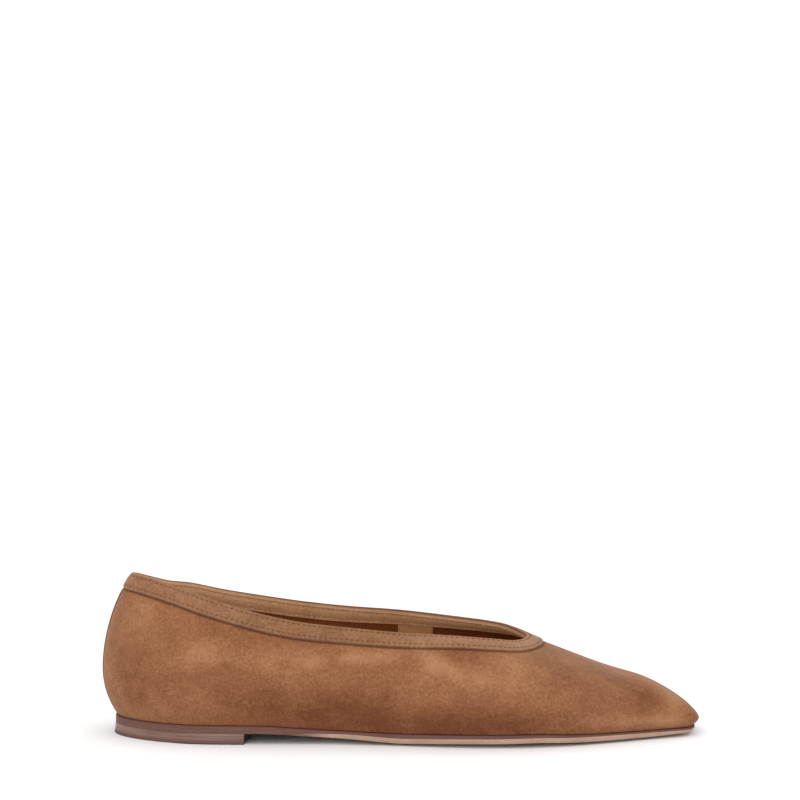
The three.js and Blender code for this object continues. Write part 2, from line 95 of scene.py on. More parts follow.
@dataclass(frozen=True)
class Sizes:
    """The shoe's driving sizes in millimetres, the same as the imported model's."""

    sole_length: float = 248.0
    ball_width: float = 76.0
    heel_width: float = 56.0
    toe_width: float = 26.0
    heel_round: float = 40.0
    fan_centre: float = 28.0
    toe_round: float = 8.0
    toe_top_round: float = 26.0
    throat_place: float = 0.7155
    throat_height: float = 40.3
    back_height: float = 67.4
    heel_bulge: float = 6.1
    side_bulge: float = 3.8
    swell_height: float = 20.0
    toe_overhang: float = 3.1
    overhang_height: float = 4.0
    overhang_length: float = 30.0
    wall: float = 1.5
    binding_thickness: float = 0.7
    binding_width: float = 6.6
    clearance: float = 0.3
    sole_thickness: float = 3.6
    sole_margin: float = 0.8
    bevel: float = 1.1
    bevel_rise: float = 2.2
    camber: float = 2.0
    camber_start: float = 0.5
    toe_spring: float = 2.0
    insole_thickness: float = 2.4
    heel_length: float = 60.5
    breast_skew: float = 5.0
    heel_lift: float = 2.6
    top_piece: float = 1.2
    heel_flare: float = 0.5
    heel_outline_power: float = 2.0
    toe_outline_power: float = 3.0
    toe_top_power: float = 2.5
    foot_power: float = 2.2

    @property
    def throat_distance(self) -> float:
        """Length from the sole's back to the throat."""
        return self.throat_place * self.sole_length

    @property
    def heel_stack(self) -> float:
        """Height of the outsole's underside at the heel seat."""
        return self.top_piece + self.heel_lift + 2 * self.clearance

    def sections(self) -> list[LastSection]:
        """Works out the last's sections.

        Returns:
            One section for each measured place along the sole, back to front.
        """
        heel, ball, toe = self.heel_width, self.ball_width, self.toe_width
        heel_b, side_b = self.heel_bulge, self.side_bulge
        stack, spring = self.heel_stack, self.toe_spring
        throat = self.throat_place
        rows = (
            (0.0, heel, 0.45, 0.38, 1, 1.54, heel_b, 1.0, 0, 1.8, stack, 1, 0, 0.845, 0.12),
            (0.05, heel, 0.465, 0.4, 1, 1.52, heel_b * 0.88, 0.98, 0, 1.83, stack, 1, 0, 0.845, 0.12),
            (0.1, heel, 0.495, 0.43, 1, 1.47, heel_b * 0.74, 0.94, 0, 1.88, stack, 1, 0, 0.845, 0.12),
            (0.17, heel, 0.54, 0.462, 1, 1.35, side_b * 1.08, 0.88, 0, 1.95, stack, 1, 0, 0.845, 0.12),
            (0.25, heel, 0.556, 0.458, 1, 1.15, side_b, 0.83, 0.003, 2, stack, 1, 0, 0.845, 0.12),
            (0.32, heel, 0.567, 0.446, 1, 0.97, side_b * 0.96, 0.79, 0.008, 2, stack, 0.78, 0.14, 0.8, 0.5),
            (0.4, heel, 0.59, 0.455, 1, 0.77, side_b * 0.95, 0.75, 0.014, 2, stack, 0.4, 0.44, 0.85, 0.9),
            (0.5, ball, 0.474, 0.366, 1, 0.55, side_b * 0.9, 0.69, 0.026, 2, stack, 0.02, 0.53, 1.09, 1),
            (0.585, ball, 0.52, 0.428, 1, 0.39, side_b * 0.8, 0.62, 0.033, 2.02, stack, 0, 0.82, 1.01, 1),
            (0.655, ball, 0.533, 0.467, 1, 0.26, side_b * 0.68, 0.57, 0.034, 2.06, stack, 0, 0.91, 1, 1),
            (throat, ball, 0.517, 0.471, 1, 0, side_b * 0.62, 0.52, 0.03, 2.15, spring, 0, 1, 0.95, 1),
            (0.78, ball, 0.468, 0.434, 0.841, 0, side_b * 0.58, 0.47, 0.022, 2.35, spring, 0.015, 0.74, 0.88, 1),
            (0.85, ball, 0.382, 0.355, 0.68, 0, side_b * 0.5, 0.4, 0.012, 2.7, spring, 0.11, 0.52, 0.82, 1),
            (0.925, toe, 0.79, 0.75, 0.542, 0, side_b * 0.4, 0.325, 0.004, 3, spring, 0.4, 0.22, 0.72, 0.85),
            (1.0, toe, 0.5, 0.5, 0.355, 0, side_b * 0.26, 0.25, 0, 3.1, spring, 1, 0, 0.48, 0.5),
        )
        rise = self.back_height - self.throat_height
        return [
            LastSection(
                at=at * self.sole_length,
                lateral=lateral * across,
                medial=medial * across,
                crown=crown * self.throat_height + lifted_top * rise,
                bulge=bulge,
                swell=swell * self.swell_height,
                ridge=ridge * self.ball_width,
                square=square,
                tread=lift * lifted,
                camber=camber * self.camber,
                thickness=thick * self.sole_thickness,
                bevel=bevel,
            )
            for (
                at, across, lateral, medial, crown, lifted_top, bulge, swell,
                ridge, square, lifted, lift, camber, thick, bevel,
            ) in rows
        ]

    def topline(self, side: Side) -> list[tuple[float, float]]:
        """Works out the height of the opening's edge.

        Args:
            side: The wall.

        Returns:
            Pairs of length from the sole's back and height above the floor.
        """
        rows = (
            (0.0, 1, 1),
            (0.06, 0.974, 0.885),
            (0.11, 0.92, 0.8),
            (0.16, 0.852, 0.76),
            (0.236, 0.69, 0.65),
            (0.347, 0.483, 0.534),
            (0.444, 0.345, 0.45),
            (0.556, 0.256, 0.378),
            (0.694, 0.168, 0.316),
            (0.8125, 0.12, 0.222),
            (0.91, 0.062, 0.135),
            (0.96, 0.016, 0.088),
            (1.0, 0, 0),
        )
        rise = self.back_height - self.throat_height
        column = 1 if side is Side.LATERAL else 2
        return [(row[0] * self.throat_distance, self.throat_height + row[column] * rise) for row in rows]


class SmoothCurve:
    """A smooth curve through knots that never overshoots them."""

    def __init__(self, knots: list[tuple[float, float]]) -> None:
        """Works out the slopes.

        Args:
            knots: Pairs of place and value, in rising order of place.
        """
        self.x = np.array([knot[0] for knot in knots], float)
        self.y = np.array([knot[1] for knot in knots], float)
        secant = np.diff(self.y) / np.diff(self.x)
        before = np.concatenate([secant[:1], secant])
        after = np.concatenate([secant, secant[-1:]])
        middle = (before + after) / 2
        limit = 3 * np.minimum(np.abs(before), np.abs(after))
        slope = np.sign(middle) * np.minimum(np.abs(middle), limit)
        self.slope = np.where(before * after <= 0, 0.0, slope)

    def __call__(self, place: Array | float) -> Array:
        """Evaluates the curve.

        Args:
            place: Where, held to the knots' range.

        Returns:
            The values there.
        """
        x = np.clip(np.asarray(place, float), self.x[0], self.x[-1])
        i = np.clip(np.searchsorted(self.x, x) - 1, 0, len(self.x) - 2)
        span = self.x[i + 1] - self.x[i]
        t = (x - self.x[i]) / span
        s = 1 - t
        return (
            self.y[i] * (1 + 2 * t) * s * s
            + self.y[i + 1] * (3 - 2 * t) * t * t
            + span * self.slope[i] * t * s * s
            - span * self.slope[i + 1] * t * t * s
        )


def rounded_end(distance: Array, length: Array | float, power: float) -> Array:
    """Share of the full width or height that a rounded end leaves.

    Args:
        distance: How far inside the end.
        length: Length of the rounding.
        power: Power of its curve.

    Returns:
        A share from 0 at the end to 1 past the rounding.
    """
    into = np.clip(1 - distance / length, 0, 1)
    return np.where(distance < ROUNDING_ERROR, 0.0, (1 - into**power) ** (1 / power))


def put(name: str, data: Any) -> bpy.types.Object:
    """Makes an object from its data and links it to the scene."""
    piece = bpy.data.objects.new(name, data)
    bpy.context.scene.collection.objects.link(piece)
    return piece


def unit(vectors: Array) -> Array:
    """Scales vectors to length one."""
    return vectors / np.maximum(np.linalg.norm(vectors, axis=-1, keepdims=True), 1e-12)


def smoothstep(value: Array, low: float, high: float) -> Array:
    """Rises smoothly from 0 at low to 1 at high."""
    t = np.clip((value - low) / (high - low), 0, 1)
    return t * t * (3 - 2 * t)


class ShoeLast:
    """The last's surfaces, in millimetres from the middle of the sole's back end."""

    def __init__(self, sizes: Sizes) -> None:
        """Makes the curves that run along the shoe.

        Args:
            sizes: The driving sizes.
        """
        self.sizes = sizes
        sections = sizes.sections()
        self.curves: dict[str, SmoothCurve] = {
            name: SmoothCurve([(row.at, getattr(row, name)) for row in sections])
            for name in LastSection._fields[1:]
        }
        self.topline = {side: SmoothCurve(sizes.topline(side)) for side in Side}

    def length_at(self, station: Array, inset: Array | float) -> Array:
        """Length along the shoe at a station from 0 at the back to 1 at the toe."""
        return inset + (self.sizes.sole_length - 2 * inset) * (1 - np.cos(np.pi * station)) / 2

    def station_at(self, length: float, inset: float) -> float:
        """Station at a length along the shoe."""
        return math.acos(1 - 2 * (length - inset) / (self.sizes.sole_length - 2 * inset)) / math.pi

    def outline(self, station: Array, inset: Array | float) -> tuple[Array, Array, Array, Array]:
        """The sole's outline, drawn in by a distance.

        Args:
            station: Stations from 0 to 1.
            inset: How far inside the sole's edge.

        Returns:
            Length, lateral half width, medial half width and the share that the round ends leave.
        """
        s = self.sizes
        x = self.length_at(station, inset)
        back = rounded_end(x - inset, s.heel_round - inset, s.heel_outline_power)
        front = rounded_end(s.sole_length - inset - x, s.toe_round - inset / 2, s.toe_outline_power)
        ends = back * front
        lateral = (self.curves["lateral"](x) + s.sole_margin - inset) * ends
        medial = (self.curves["medial"](x) + s.sole_margin - inset) * ends
        return x, lateral, medial, ends

    def tread(self, x: Array, share: Array) -> Array:
        """Height of the underside at a share of the half width."""
        start = self.sizes.camber_start
        edge = np.maximum(np.abs(share) - start, 0) / (1 - start)
        return self.curves["tread"](x) + self.curves["camber"](x) * edge**2

    def seat(self, x: Array, share: Array) -> Array:
        """Height of the outsole's upper face at a share of the half width."""
        return self.tread(x, share) + self.curves["thickness"](x)

    def point(self, station: Array | float, row: Array | float, inset: Array | float = 0.0) -> Array:
        """The upper's outer surface, drawn in by a distance.

        Args:
            station: 0 at the back to 1 at the toe; below zero is the other side of the back.
            row: 0 on the ridge, 1 on the fullest line, 2 at the foot; below zero is lateral.
            inset: How far inside the outer surface.

        Returns:
            Points in millimetres.
        """
        s = self.sizes
        station, row, inset = np.broadcast_arrays(
            np.asarray(station, float), np.asarray(row, float), np.asarray(inset, float)
        )
        row = np.where(station < 0, -row, row)
        station = np.abs(station)
        x, lateral, medial, _ = self.outline(station, s.sole_margin + inset)
        spine_x = np.maximum(x, s.fan_centre)
        spine_y = self.curves["ridge"](spine_x)
        edge_y = np.where(row < 0, -lateral, medial)
        across = np.stack([x - spine_x, edge_y - spine_y], axis=-1)
        reach = np.linalg.norm(across, axis=-1)
        across = across / np.maximum(reach, 1e-9)[..., None]

        front = s.sole_length - s.sole_margin - inset
        toe_roll = rounded_end(front - x, s.toe_top_round, s.toe_top_power)
        toe_plan = rounded_end(front - x, s.toe_round, s.toe_outline_power)
        foot = self.seat(x, np.ones_like(x)) + s.clearance
        height = np.maximum(self.curves["crown"](x) - foot - inset, 0) * toe_roll
        swell = self.curves["swell"](x) * toe_roll
        bulge = self.curves["bulge"](x) * toe_plan
        power = self.curves["square"](x)

        angle = np.minimum(np.abs(row), 1) * np.pi / 2
        sine, cosine = np.abs(np.sin(angle)), np.abs(np.cos(angle))
        size = (sine**power + cosine**power) ** (-1 / power)
        down = np.maximum(np.abs(row) - 1, 0)
        upper_part = np.abs(row) <= 1
        out = np.where(upper_part, (reach + bulge) * size * sine, reach + bulge * (1 - down**s.foot_power))
        up = np.where(upper_part, swell + (height - swell) * size * cosine, swell * (1 - down))

        lean = np.maximum(0, 1 - (front - x) / s.overhang_length) ** 2
        rolled = 1 - (1 - np.minimum(up / s.overhang_height, 1)) ** 2
        along = spine_x + across[..., 0] * out + s.toe_overhang * lean * rolled
        return np.stack([along, spine_y + across[..., 1] * out, foot + up], axis=-1)

    def steps(self, station: Array, row: Array, inset: Array | float = 0.0) -> tuple[Array, Array]:
        """How the surface moves for one unit of station and of row.

        Args:
            station: Stations.
            row: Rows.
            inset: How far inside the outer surface.

        Returns:
            The two rates, as vectors in millimetres.
        """
        d = RATE_STEP
        by_station = (self.point(station + d, row, inset) - self.point(station - d, row, inset)) / (2 * d)
        by_row = (self.point(station, row + d, inset) - self.point(station, row - d, inset)) / (2 * d)
        return by_station, by_row

    def normal(self, station: Array, row: Array, inset: Array | float = 0.0) -> Array:
        """Outward normals of the surface."""
        by_station, by_row = self.steps(station, row, inset)
        return unit(np.cross(by_station, by_row))

    def topline_row(self, station: Array, side: Side) -> Array:
        """Row at which a wall reaches the opening's edge.

        Args:
            station: Stations behind the throat.
            side: The wall.

        Returns:
            One row for each station.
        """
        x = self.length_at(station, self.sizes.sole_margin)
        height = np.where(station == 0, self.topline[Side.LATERAL](x), self.topline[side](x))
        low, high = np.zeros_like(station), np.ones_like(station)
        for _ in range(40):
            middle = (low + high) / 2
            above = self.point(station, side.value * middle)[..., 2] > height
            low = np.where(above, middle, low)
            high = np.where(above, high, middle)
        return side.value * low


@dataclass
class RawMesh:
    """Points, faces and per-point values that become a Blender mesh."""

    points: list[Array] = field(default_factory=list)
    faces: list[Array] = field(default_factory=list)
    slots: list[Array] = field(default_factory=list)
    values: dict[str, list[Array]] = field(default_factory=dict)
    count: int = 0

    def add_grid(self, grid: Array, slot: int | Array = 0, **values: Array) -> None:
        """Adds quads between rings of points.

        Args:
            grid: Points as rings by places around each ring, in millimetres.
            slot: Material slot, one number or one for each place around.
            **values: Named numbers, one for each point.
        """
        rings, places = grid.shape[:2]
        index = np.arange(rings * places).reshape(rings, places) + self.count
        following = np.roll(index, -1, axis=1)
        quads = np.stack([index[:-1], index[1:], following[1:], following[:-1]], axis=-1).reshape(-1, 4)
        self.slots.append(np.tile(np.broadcast_to(np.asarray(slot), (places,)), rings - 1))
        self.points.append(grid.reshape(-1, 3))
        self.faces.append(quads)
        self.count += rings * places
        for name, value in values.items():
            self.values.setdefault(name, []).append(np.broadcast_to(value, (rings, places)).reshape(-1))

    def add_end(self, places: int, slot: int) -> None:
        """Closes the last ring, whose second half runs back along its first half."""
        ring = np.arange(places) + self.count - places
        pairs = range(places // 2 - 1)
        self.faces.append(np.array([(ring[i], ring[i + 1], ring[-2 - i], ring[-1 - i]) for i in pairs]))
        self.slots.append(np.full(len(pairs), slot))

    def build(
        self, name: str, origin: Vector, materials: list[bpy.types.Material], sharp_deg: float = 60.0
    ) -> bpy.types.Object:
        """Makes the object, with doubles merged and normals pointing out.

        Args:
            name: The object's name.
            origin: Place of the last's own zero in the row's frame, metres.
            materials: Materials for the slots.
            sharp_deg: Angle past which an edge stays sharp.

        Returns:
            The new object, linked to the scene.
        """
        points = np.concatenate(self.points) * MM + np.array(origin)
        mesh = bpy.data.meshes.new(name)
        mesh.from_pydata(points.tolist(), [], np.concatenate(self.faces).tolist())
        mesh.polygons.foreach_set("material_index", np.concatenate(self.slots).astype(np.int32))
        for label, parts in self.values.items():
            layer = mesh.attributes.new(label, "FLOAT", "POINT")
            layer.data.foreach_set("value", np.concatenate(parts).astype(np.float32))
        work = bmesh.new()
        work.from_mesh(mesh)
        bmesh.ops.remove_doubles(work, verts=work.verts, dist=MERGE_DISTANCE)
        bmesh.ops.dissolve_degenerate(work, edges=work.edges, dist=SHORTEST_EDGE)
        bmesh.ops.recalc_face_normals(work, faces=work.faces)
        if work.calc_volume(signed=True) < 0:
            bmesh.ops.reverse_faces(work, faces=work.faces)
        open_edges = sum(1 for edge in work.edges if len(edge.link_faces) != 2)
        work.to_mesh(mesh)
        work.free()
        mesh.polygons.foreach_set("use_smooth", np.ones(len(mesh.polygons), dtype=bool))
        mesh.set_sharp_from_angle(angle=math.radians(sharp_deg))
        for material in materials:
            mesh.materials.append(material)
        mesh.update()
        piece = put(name, mesh)
        log.info("%s: %d faces, %d edges not closed", name, len(mesh.polygons), open_edges)
        return piece


# Finishes


def srgb(code: str) -> tuple[float, float, float, float]:
    """Turns a six-figure colour code into a linear colour.

    Args:
        code: Red, green and blue as two hexadecimal figures each.

    Returns:
        Linear red, green, blue and alpha.
    """
    parts = [int(code[i : i + 2], 16) / 255 for i in (0, 2, 4)]
    linear = [p / 12.92 if p <= 0.04045 else ((p + 0.055) / 1.055) ** 2.4 for p in parts]
    return linear[0], linear[1], linear[2], 1.0


class Wire:
    """A node's output, on which Python's operators add Math nodes."""

    def __init__(self, graph: "Graph", socket: bpy.types.NodeSocket) -> None:
        """Keeps the graph and the socket."""
        self.graph = graph
        self.socket = socket

    def math(self, operation: str, other: "Wire | float" = 0.0, swap: bool = False) -> "Wire":
        """Adds one Math node.

        Args:
            operation: The Math node's operation.
            other: The second value.
            swap: Whether the second value comes first.

        Returns:
            The result.
        """
        first, second = (other, self) if swap else (self, other)
        return self.graph.add("ShaderNodeMath", {"operation": operation}, {0: first, 1: second})

    def __add__(self, other: "Wire | float") -> "Wire":
        """Sum."""
        return self.math("ADD", other)

    __radd__ = __add__

    def __mul__(self, other: "Wire | float") -> "Wire":
        """Product."""
        return self.math("MULTIPLY", other)

    __rmul__ = __mul__

    def __sub__(self, other: "Wire | float") -> "Wire":
        """Difference."""
        return self.math("SUBTRACT", other)

    def __rsub__(self, other: float) -> "Wire":
        """Difference from a number."""
        return self.math("SUBTRACT", other, swap=True)

    def clamp(self) -> "Wire":
        """Holds the value between 0 and 1."""
        return self.graph.add("ShaderNodeClamp", {}, {0: self})

    def band(self, low: float, high: float) -> "Wire":
        """Rises smoothly from 0 at low to 1 at high."""
        settings = {"interpolation_type": "SMOOTHSTEP"}
        return self.graph.add("ShaderNodeMapRange", settings, {"Value": self, "From Min": low, "From Max": high})


class Graph:
    """A material's nodes."""

    def __init__(self, name: str) -> None:
        """Makes an empty material.

        Args:
            name: The material's name.
        """
        self.material = bpy.data.materials.new(name)
        self.material.use_nodes = True
        self.tree = self.material.node_tree
        self.tree.nodes.clear()

    def add(
        self,
        kind: str,
        settings: dict[str, Any] | None = None,
        sockets: dict[str | int, Any] | None = None,
        output: str | int = 0,
    ) -> Wire:
        """Adds one node of any kind.

        Args:
            kind: The node's type.
            settings: Its properties, set first; "stops" fills a ramp.
            sockets: Values or wires for its inputs, by name, identifier or number.
            output: Which output comes back.

        Returns:
            The chosen output.
        """
        node = self.tree.nodes.new(kind)
        for name, value in (settings or {}).items():
            if name == "stops":
                elements = node.color_ramp.elements
                while len(elements) < len(value):
                    elements.new(0.5)
                for element, (place, colour) in zip(elements, value):
                    element.position = place
                    element.color = colour
            else:
                setattr(node, name, value)
        for key, value in (sockets or {}).items():
            socket = self._find(node.inputs, key)
            if isinstance(value, Wire):
                self.tree.links.new(value.socket, socket)
            else:
                socket.default_value = value
        return Wire(self, self._find(node.outputs, output))

    @staticmethod
    def _find(sockets: Any, key: str | int) -> bpy.types.NodeSocket:
        """Finds a socket by number, identifier or name."""
        if isinstance(key, int):
            return sockets[key]
        for socket in sockets:
            if socket.identifier == key:
                return socket
        return sockets[key]

    def place(self) -> Wire:
        """The point on the object, in metres."""
        return self.add("ShaderNodeTexCoord", output="Object")

    def stretched(self, scale: tuple[float, float, float], turn: tuple[float, float, float] = (0, 0, 0)) -> Wire:
        """Object coordinates, stretched and turned."""
        return self.add("ShaderNodeMapping", {}, {"Vector": self.place(), "Scale": scale, "Rotation": turn})

    def noise(
        self, scale: float, detail: float = 3.0, rough: float = 0.5, at: Wire | None = None, warp: float = 0.0
    ) -> Wire:
        """Noise with features of about one over the scale, in metres."""
        sockets = {"Scale": scale, "Detail": detail, "Roughness": rough, "Distortion": warp}
        return self.add("ShaderNodeTexNoise", {}, {"Vector": at or self.place(), **sockets})

    def attribute(self, name: str) -> Wire:
        """A number stored on the mesh."""
        return self.add("ShaderNodeAttribute", {"attribute_name": name}, output="Fac")

    def mix(self, factor: Wire | float, first: Any, second: Any) -> Wire:
        """Mixes two colours."""
        sockets = {"Factor_Float": factor, "A_Color": first, "B_Color": second}
        return self.add("ShaderNodeMix", {"data_type": "RGBA"}, sockets, "Result_Color")

    def ramp(self, value: Wire, stops: list[tuple[float, tuple[float, float, float, float]]]) -> Wire:
        """Turns a number into a colour."""
        return self.add("ShaderNodeValToRGB", {"stops": stops}, {0: value})

    def bump(self, height: Wire, distance: float, strength: float = 1.0) -> Wire:
        """Raises the surface by a height in metres."""
        return self.add("ShaderNodeBump", {}, {"Height": height, "Distance": distance, "Strength": strength})

    def finish(self, sockets: dict[str | int, Any]) -> bpy.types.Material:
        """Ends the graph in a principled shader.

        Args:
            sockets: Values or wires for the shader.

        Returns:
            The material.
        """
        shader = self.add("ShaderNodeBsdfPrincipled", {}, sockets)
        end = self.tree.nodes.new("ShaderNodeOutputMaterial")
        self.tree.links.new(shader.socket, end.inputs["Surface"])
        return self.material


@dataclass(frozen=True)
class SuedeFinish:
    """Napped suede, brushed in soft patches, with painted highlight and painted shade read from the mesh."""

    name: str
    dark: str = "653922"
    middle: str = "845638"
    light: str = "A07250"
    # Colour of the painted shade: the groove by the back seam, the shadow line under the binding and the binding's
    # far fold.
    seam: str = "452617"
    nap_height: float = 0.00016

    def make(self) -> bpy.types.Material:
        """Builds the material.

        Returns:
            The suede material.
        """
        g = Graph(self.name)
        clouds = g.noise(38, 4, 0.6, warp=0.6)
        brush = g.noise(170, 3, 0.6, at=g.stretched((0.55, 1, 1.3), (0.0, 0.35, 0.0)), warp=1.2)
        flecks = g.noise(900, 4, 0.7)
        fibres = g.noise(3200, 3, 0.75)
        tone = 0.5 + (clouds - 0.5) * 0.62 + (brush - 0.5) * 0.4 + (flecks - 0.5) * 0.95 + (fibres - 0.5) * 0.8
        # Lighter or darker from the soft marks and the binding: brushed suede with painted highlight and painted
        # shade.
        tone = (tone + g.attribute("nap") * 0.5).clamp()
        colour = g.ramp(
            tone,
            [(0.1, srgb(self.dark)), (0.5, srgb(self.middle)), (0.9, srgb(self.light))],
        )
        # Painted shade laid over the suede where the mesh marks it.
        colour = g.mix(g.attribute("seam").clamp(), colour, srgb(self.seam))
        height = fibres * 0.6 + flecks * 0.8 + brush * 0.5
        return g.finish(
            {
                "Base Color": colour,
                "Roughness": (0.98 - tone * 0.1),
                "Specular IOR Level": 0.18,
                "Sheen Weight": 0.18,
                "Sheen Roughness": 0.4,
                "Sheen Tint": srgb("F0D4BC"),
                "Normal": g.bump(height, self.nap_height),
            }
        )


@dataclass(frozen=True)
class SmoothLeatherFinish:
    """Lining and sock leather with a fine pore."""

    name: str
    dark: str
    light: str
    roughness: float = 0.55

    def make(self) -> bpy.types.Material:
        """Builds the material.

        Returns:
            The leather material.
        """
        g = Graph(self.name)
        cloud = g.noise(60, 4, 0.55)
        pores = g.add("ShaderNodeTexVoronoi", {"feature": "F1"}, {"Vector": g.place(), "Scale": 1500.0})
        grain = g.noise(700, 3, 0.6)
        tone = (cloud * 0.7 + grain * 0.3).band(0.25, 0.75)
        height = pores * 0.6 + grain * 0.5
        return g.finish(
            {
                "Base Color": g.mix(tone, srgb(self.dark), srgb(self.light)),
                "Roughness": self.roughness + (grain - 0.5) * 0.25,
                "Specular IOR Level": 0.35,
                "Normal": g.bump(height, 0.00008, 0.7),
            }
        )


@dataclass(frozen=True)
class SoleFinish:
    """Sole leather: dyed upright edge, natural bevel, smooth tread with wear, and painted shade where the upper sits
    on it.
    """

    name: str
    dyed: str = "6F4D41"
    dyed_dark: str = "513229"
    # Colour of the painted shade in the gap where the upper sits on the sole.
    crevice: str = "5A3024"
    natural: str = "B89C88"
    natural_dark: str = "9E806B"

    def make(self) -> bpy.types.Material:
        """Builds the material.

        Returns:
            The sole's material, which reads the place up the edge from the mesh.
        """
        g = Graph(self.name)
        layers = g.noise(260, 3, 0.6, at=g.stretched((0.25, 0.25, 9.0)))
        mottled = g.noise(90, 4, 0.6)
        grain = g.noise(1400, 3, 0.6)
        dyed = g.mix((layers * 0.6 + grain * 0.4).band(0.3, 0.7), srgb(self.dyed_dark), srgb(self.dyed))
        natural = g.mix((mottled * 0.6 + grain * 0.4).band(0.3, 0.7), srgb(self.natural_dark), srgb(self.natural))
        colour = g.mix(g.attribute("natural").clamp(), dyed, natural)
        # Painted shade on the upper face and the top of the edge, under the upper.
        colour = g.mix(g.attribute("crevice").clamp(), colour, srgb(self.crevice))
        return g.finish(
            {
                "Base Color": colour,
                "Roughness": 0.5 + grain * 0.25,
                "Specular IOR Level": 0.35,
                "Normal": g.bump(layers * 0.6 + grain * 0.4, 0.00007, 0.8),
            }
        )


@dataclass(frozen=True)
class StackedLeatherFinish:
    """Stacked heel leather with fine level lines, dyed and waxed."""

    name: str
    light: str = "7D5C52"
    dark: str = "583B33"

    def make(self) -> bpy.types.Material:
        """Builds the material.

        Returns:
            The heel's material.
        """
        g = Graph(self.name)
        lines = g.noise(420, 3, 0.65, at=g.stretched((0.12, 0.12, 7.0)))
        cloud = g.noise(80, 3, 0.6)
        grain = g.noise(1600, 2, 0.6)
        tone = (lines * 0.65 + cloud * 0.25 + grain * 0.1).band(0.32, 0.66)
        return g.finish(
            {
                "Base Color": g.mix(tone, srgb(self.dark), srgb(self.light)),
                "Roughness": 0.42 + grain * 0.2,
                "Specular IOR Level": 0.4,
                "Coat Weight": 0.25,
                "Coat Roughness": 0.3,
                "Normal": g.bump(lines * 0.8 + grain * 0.2, 0.00009, 0.9),
            }
        )


@dataclass(frozen=True)
class RubberFinish:
    """Dull dark rubber, its side dyed with the heel down to a thin line."""

    name: str
    dyed_from: float = 0.0004

    def make(self) -> bpy.types.Material:
        """Builds the material.

        Returns:
            The rubber material.
        """
        g = Graph(self.name)
        grain = g.noise(1300, 3, 0.6)
        cloud = g.noise(120, 2, 0.5)
        height = g.add("ShaderNodeSeparateXYZ", {}, {0: g.place()}, "Z")
        bare = g.mix(cloud.band(0.3, 0.7), srgb("3A332F"), srgb("554C47"))
        return g.finish(
            {
                "Base Color": g.mix(height.band(self.dyed_from, self.dyed_from + 0.0002), bare, srgb("66463C")),
                "Roughness": 0.65 + grain * 0.2,
                "Specular IOR Level": 0.3,
                "Normal": g.bump(grain, 0.00008, 0.8),
            }
        )


@dataclass(frozen=True)
class ThreadFinish:
    """Twisted sewing thread."""

    name: str
    dark: str = "5A3A28"
    light: str = "6A4530"

    def make(self) -> bpy.types.Material:
        """Builds the material.

        Returns:
            The thread material.
        """
        g = Graph(self.name)
        twist = g.noise(2600, 2, 0.5, at=g.stretched((1.0, 1.0, 0.6), (0.3, 0.5, 0.2)))
        return g.finish(
            {
                "Base Color": g.mix(twist.band(0.35, 0.65), srgb(self.dark), srgb(self.light)),
                "Roughness": 0.6 + twist * 0.2,
                "Specular IOR Level": 0.15,
                "Normal": g.bump(twist, 0.0001, 0.8),
            }
        )


# Soft forms of the worn-in leather, with painted highlight and painted shade on them


@dataclass(frozen=True)
class SoftMark:
    """A soft ridge, trough or brushed patch on one wall, seen from the side.

    Places are shares of the sole's length and of the back's height. Reach is the half length and
    half height of the mark in millimetres, tilt turns it, raise is its height in millimetres, and
    the last value is how light or dark it is painted: brushed suede, with painted highlight on
    raised marks and painted shade on sunk ones.
    """

    along: float
    up: float
    reach: tuple[float, float]
    tilt: float = 0.0
    raise_mm: float = 0.0
    nap: float = 0.0

    def weight(self, x: Array, z: Array, sizes: Sizes) -> Array:
        """How strongly the mark acts at places on the wall.

        Args:
            x: Length from the sole's back.
            z: Height above the floor.
            sizes: The driving sizes.

        Returns:
            A share from 0 to 1.
        """
        dx = x - self.along * sizes.sole_length
        dz = z - self.up * sizes.back_height
        turn = math.radians(self.tilt)
        u = (dx * math.cos(turn) + dz * math.sin(turn)) / self.reach[0]
        v = (-dx * math.sin(turn) + dz * math.cos(turn)) / self.reach[1]
        return np.exp(-(u * u) - v * v)


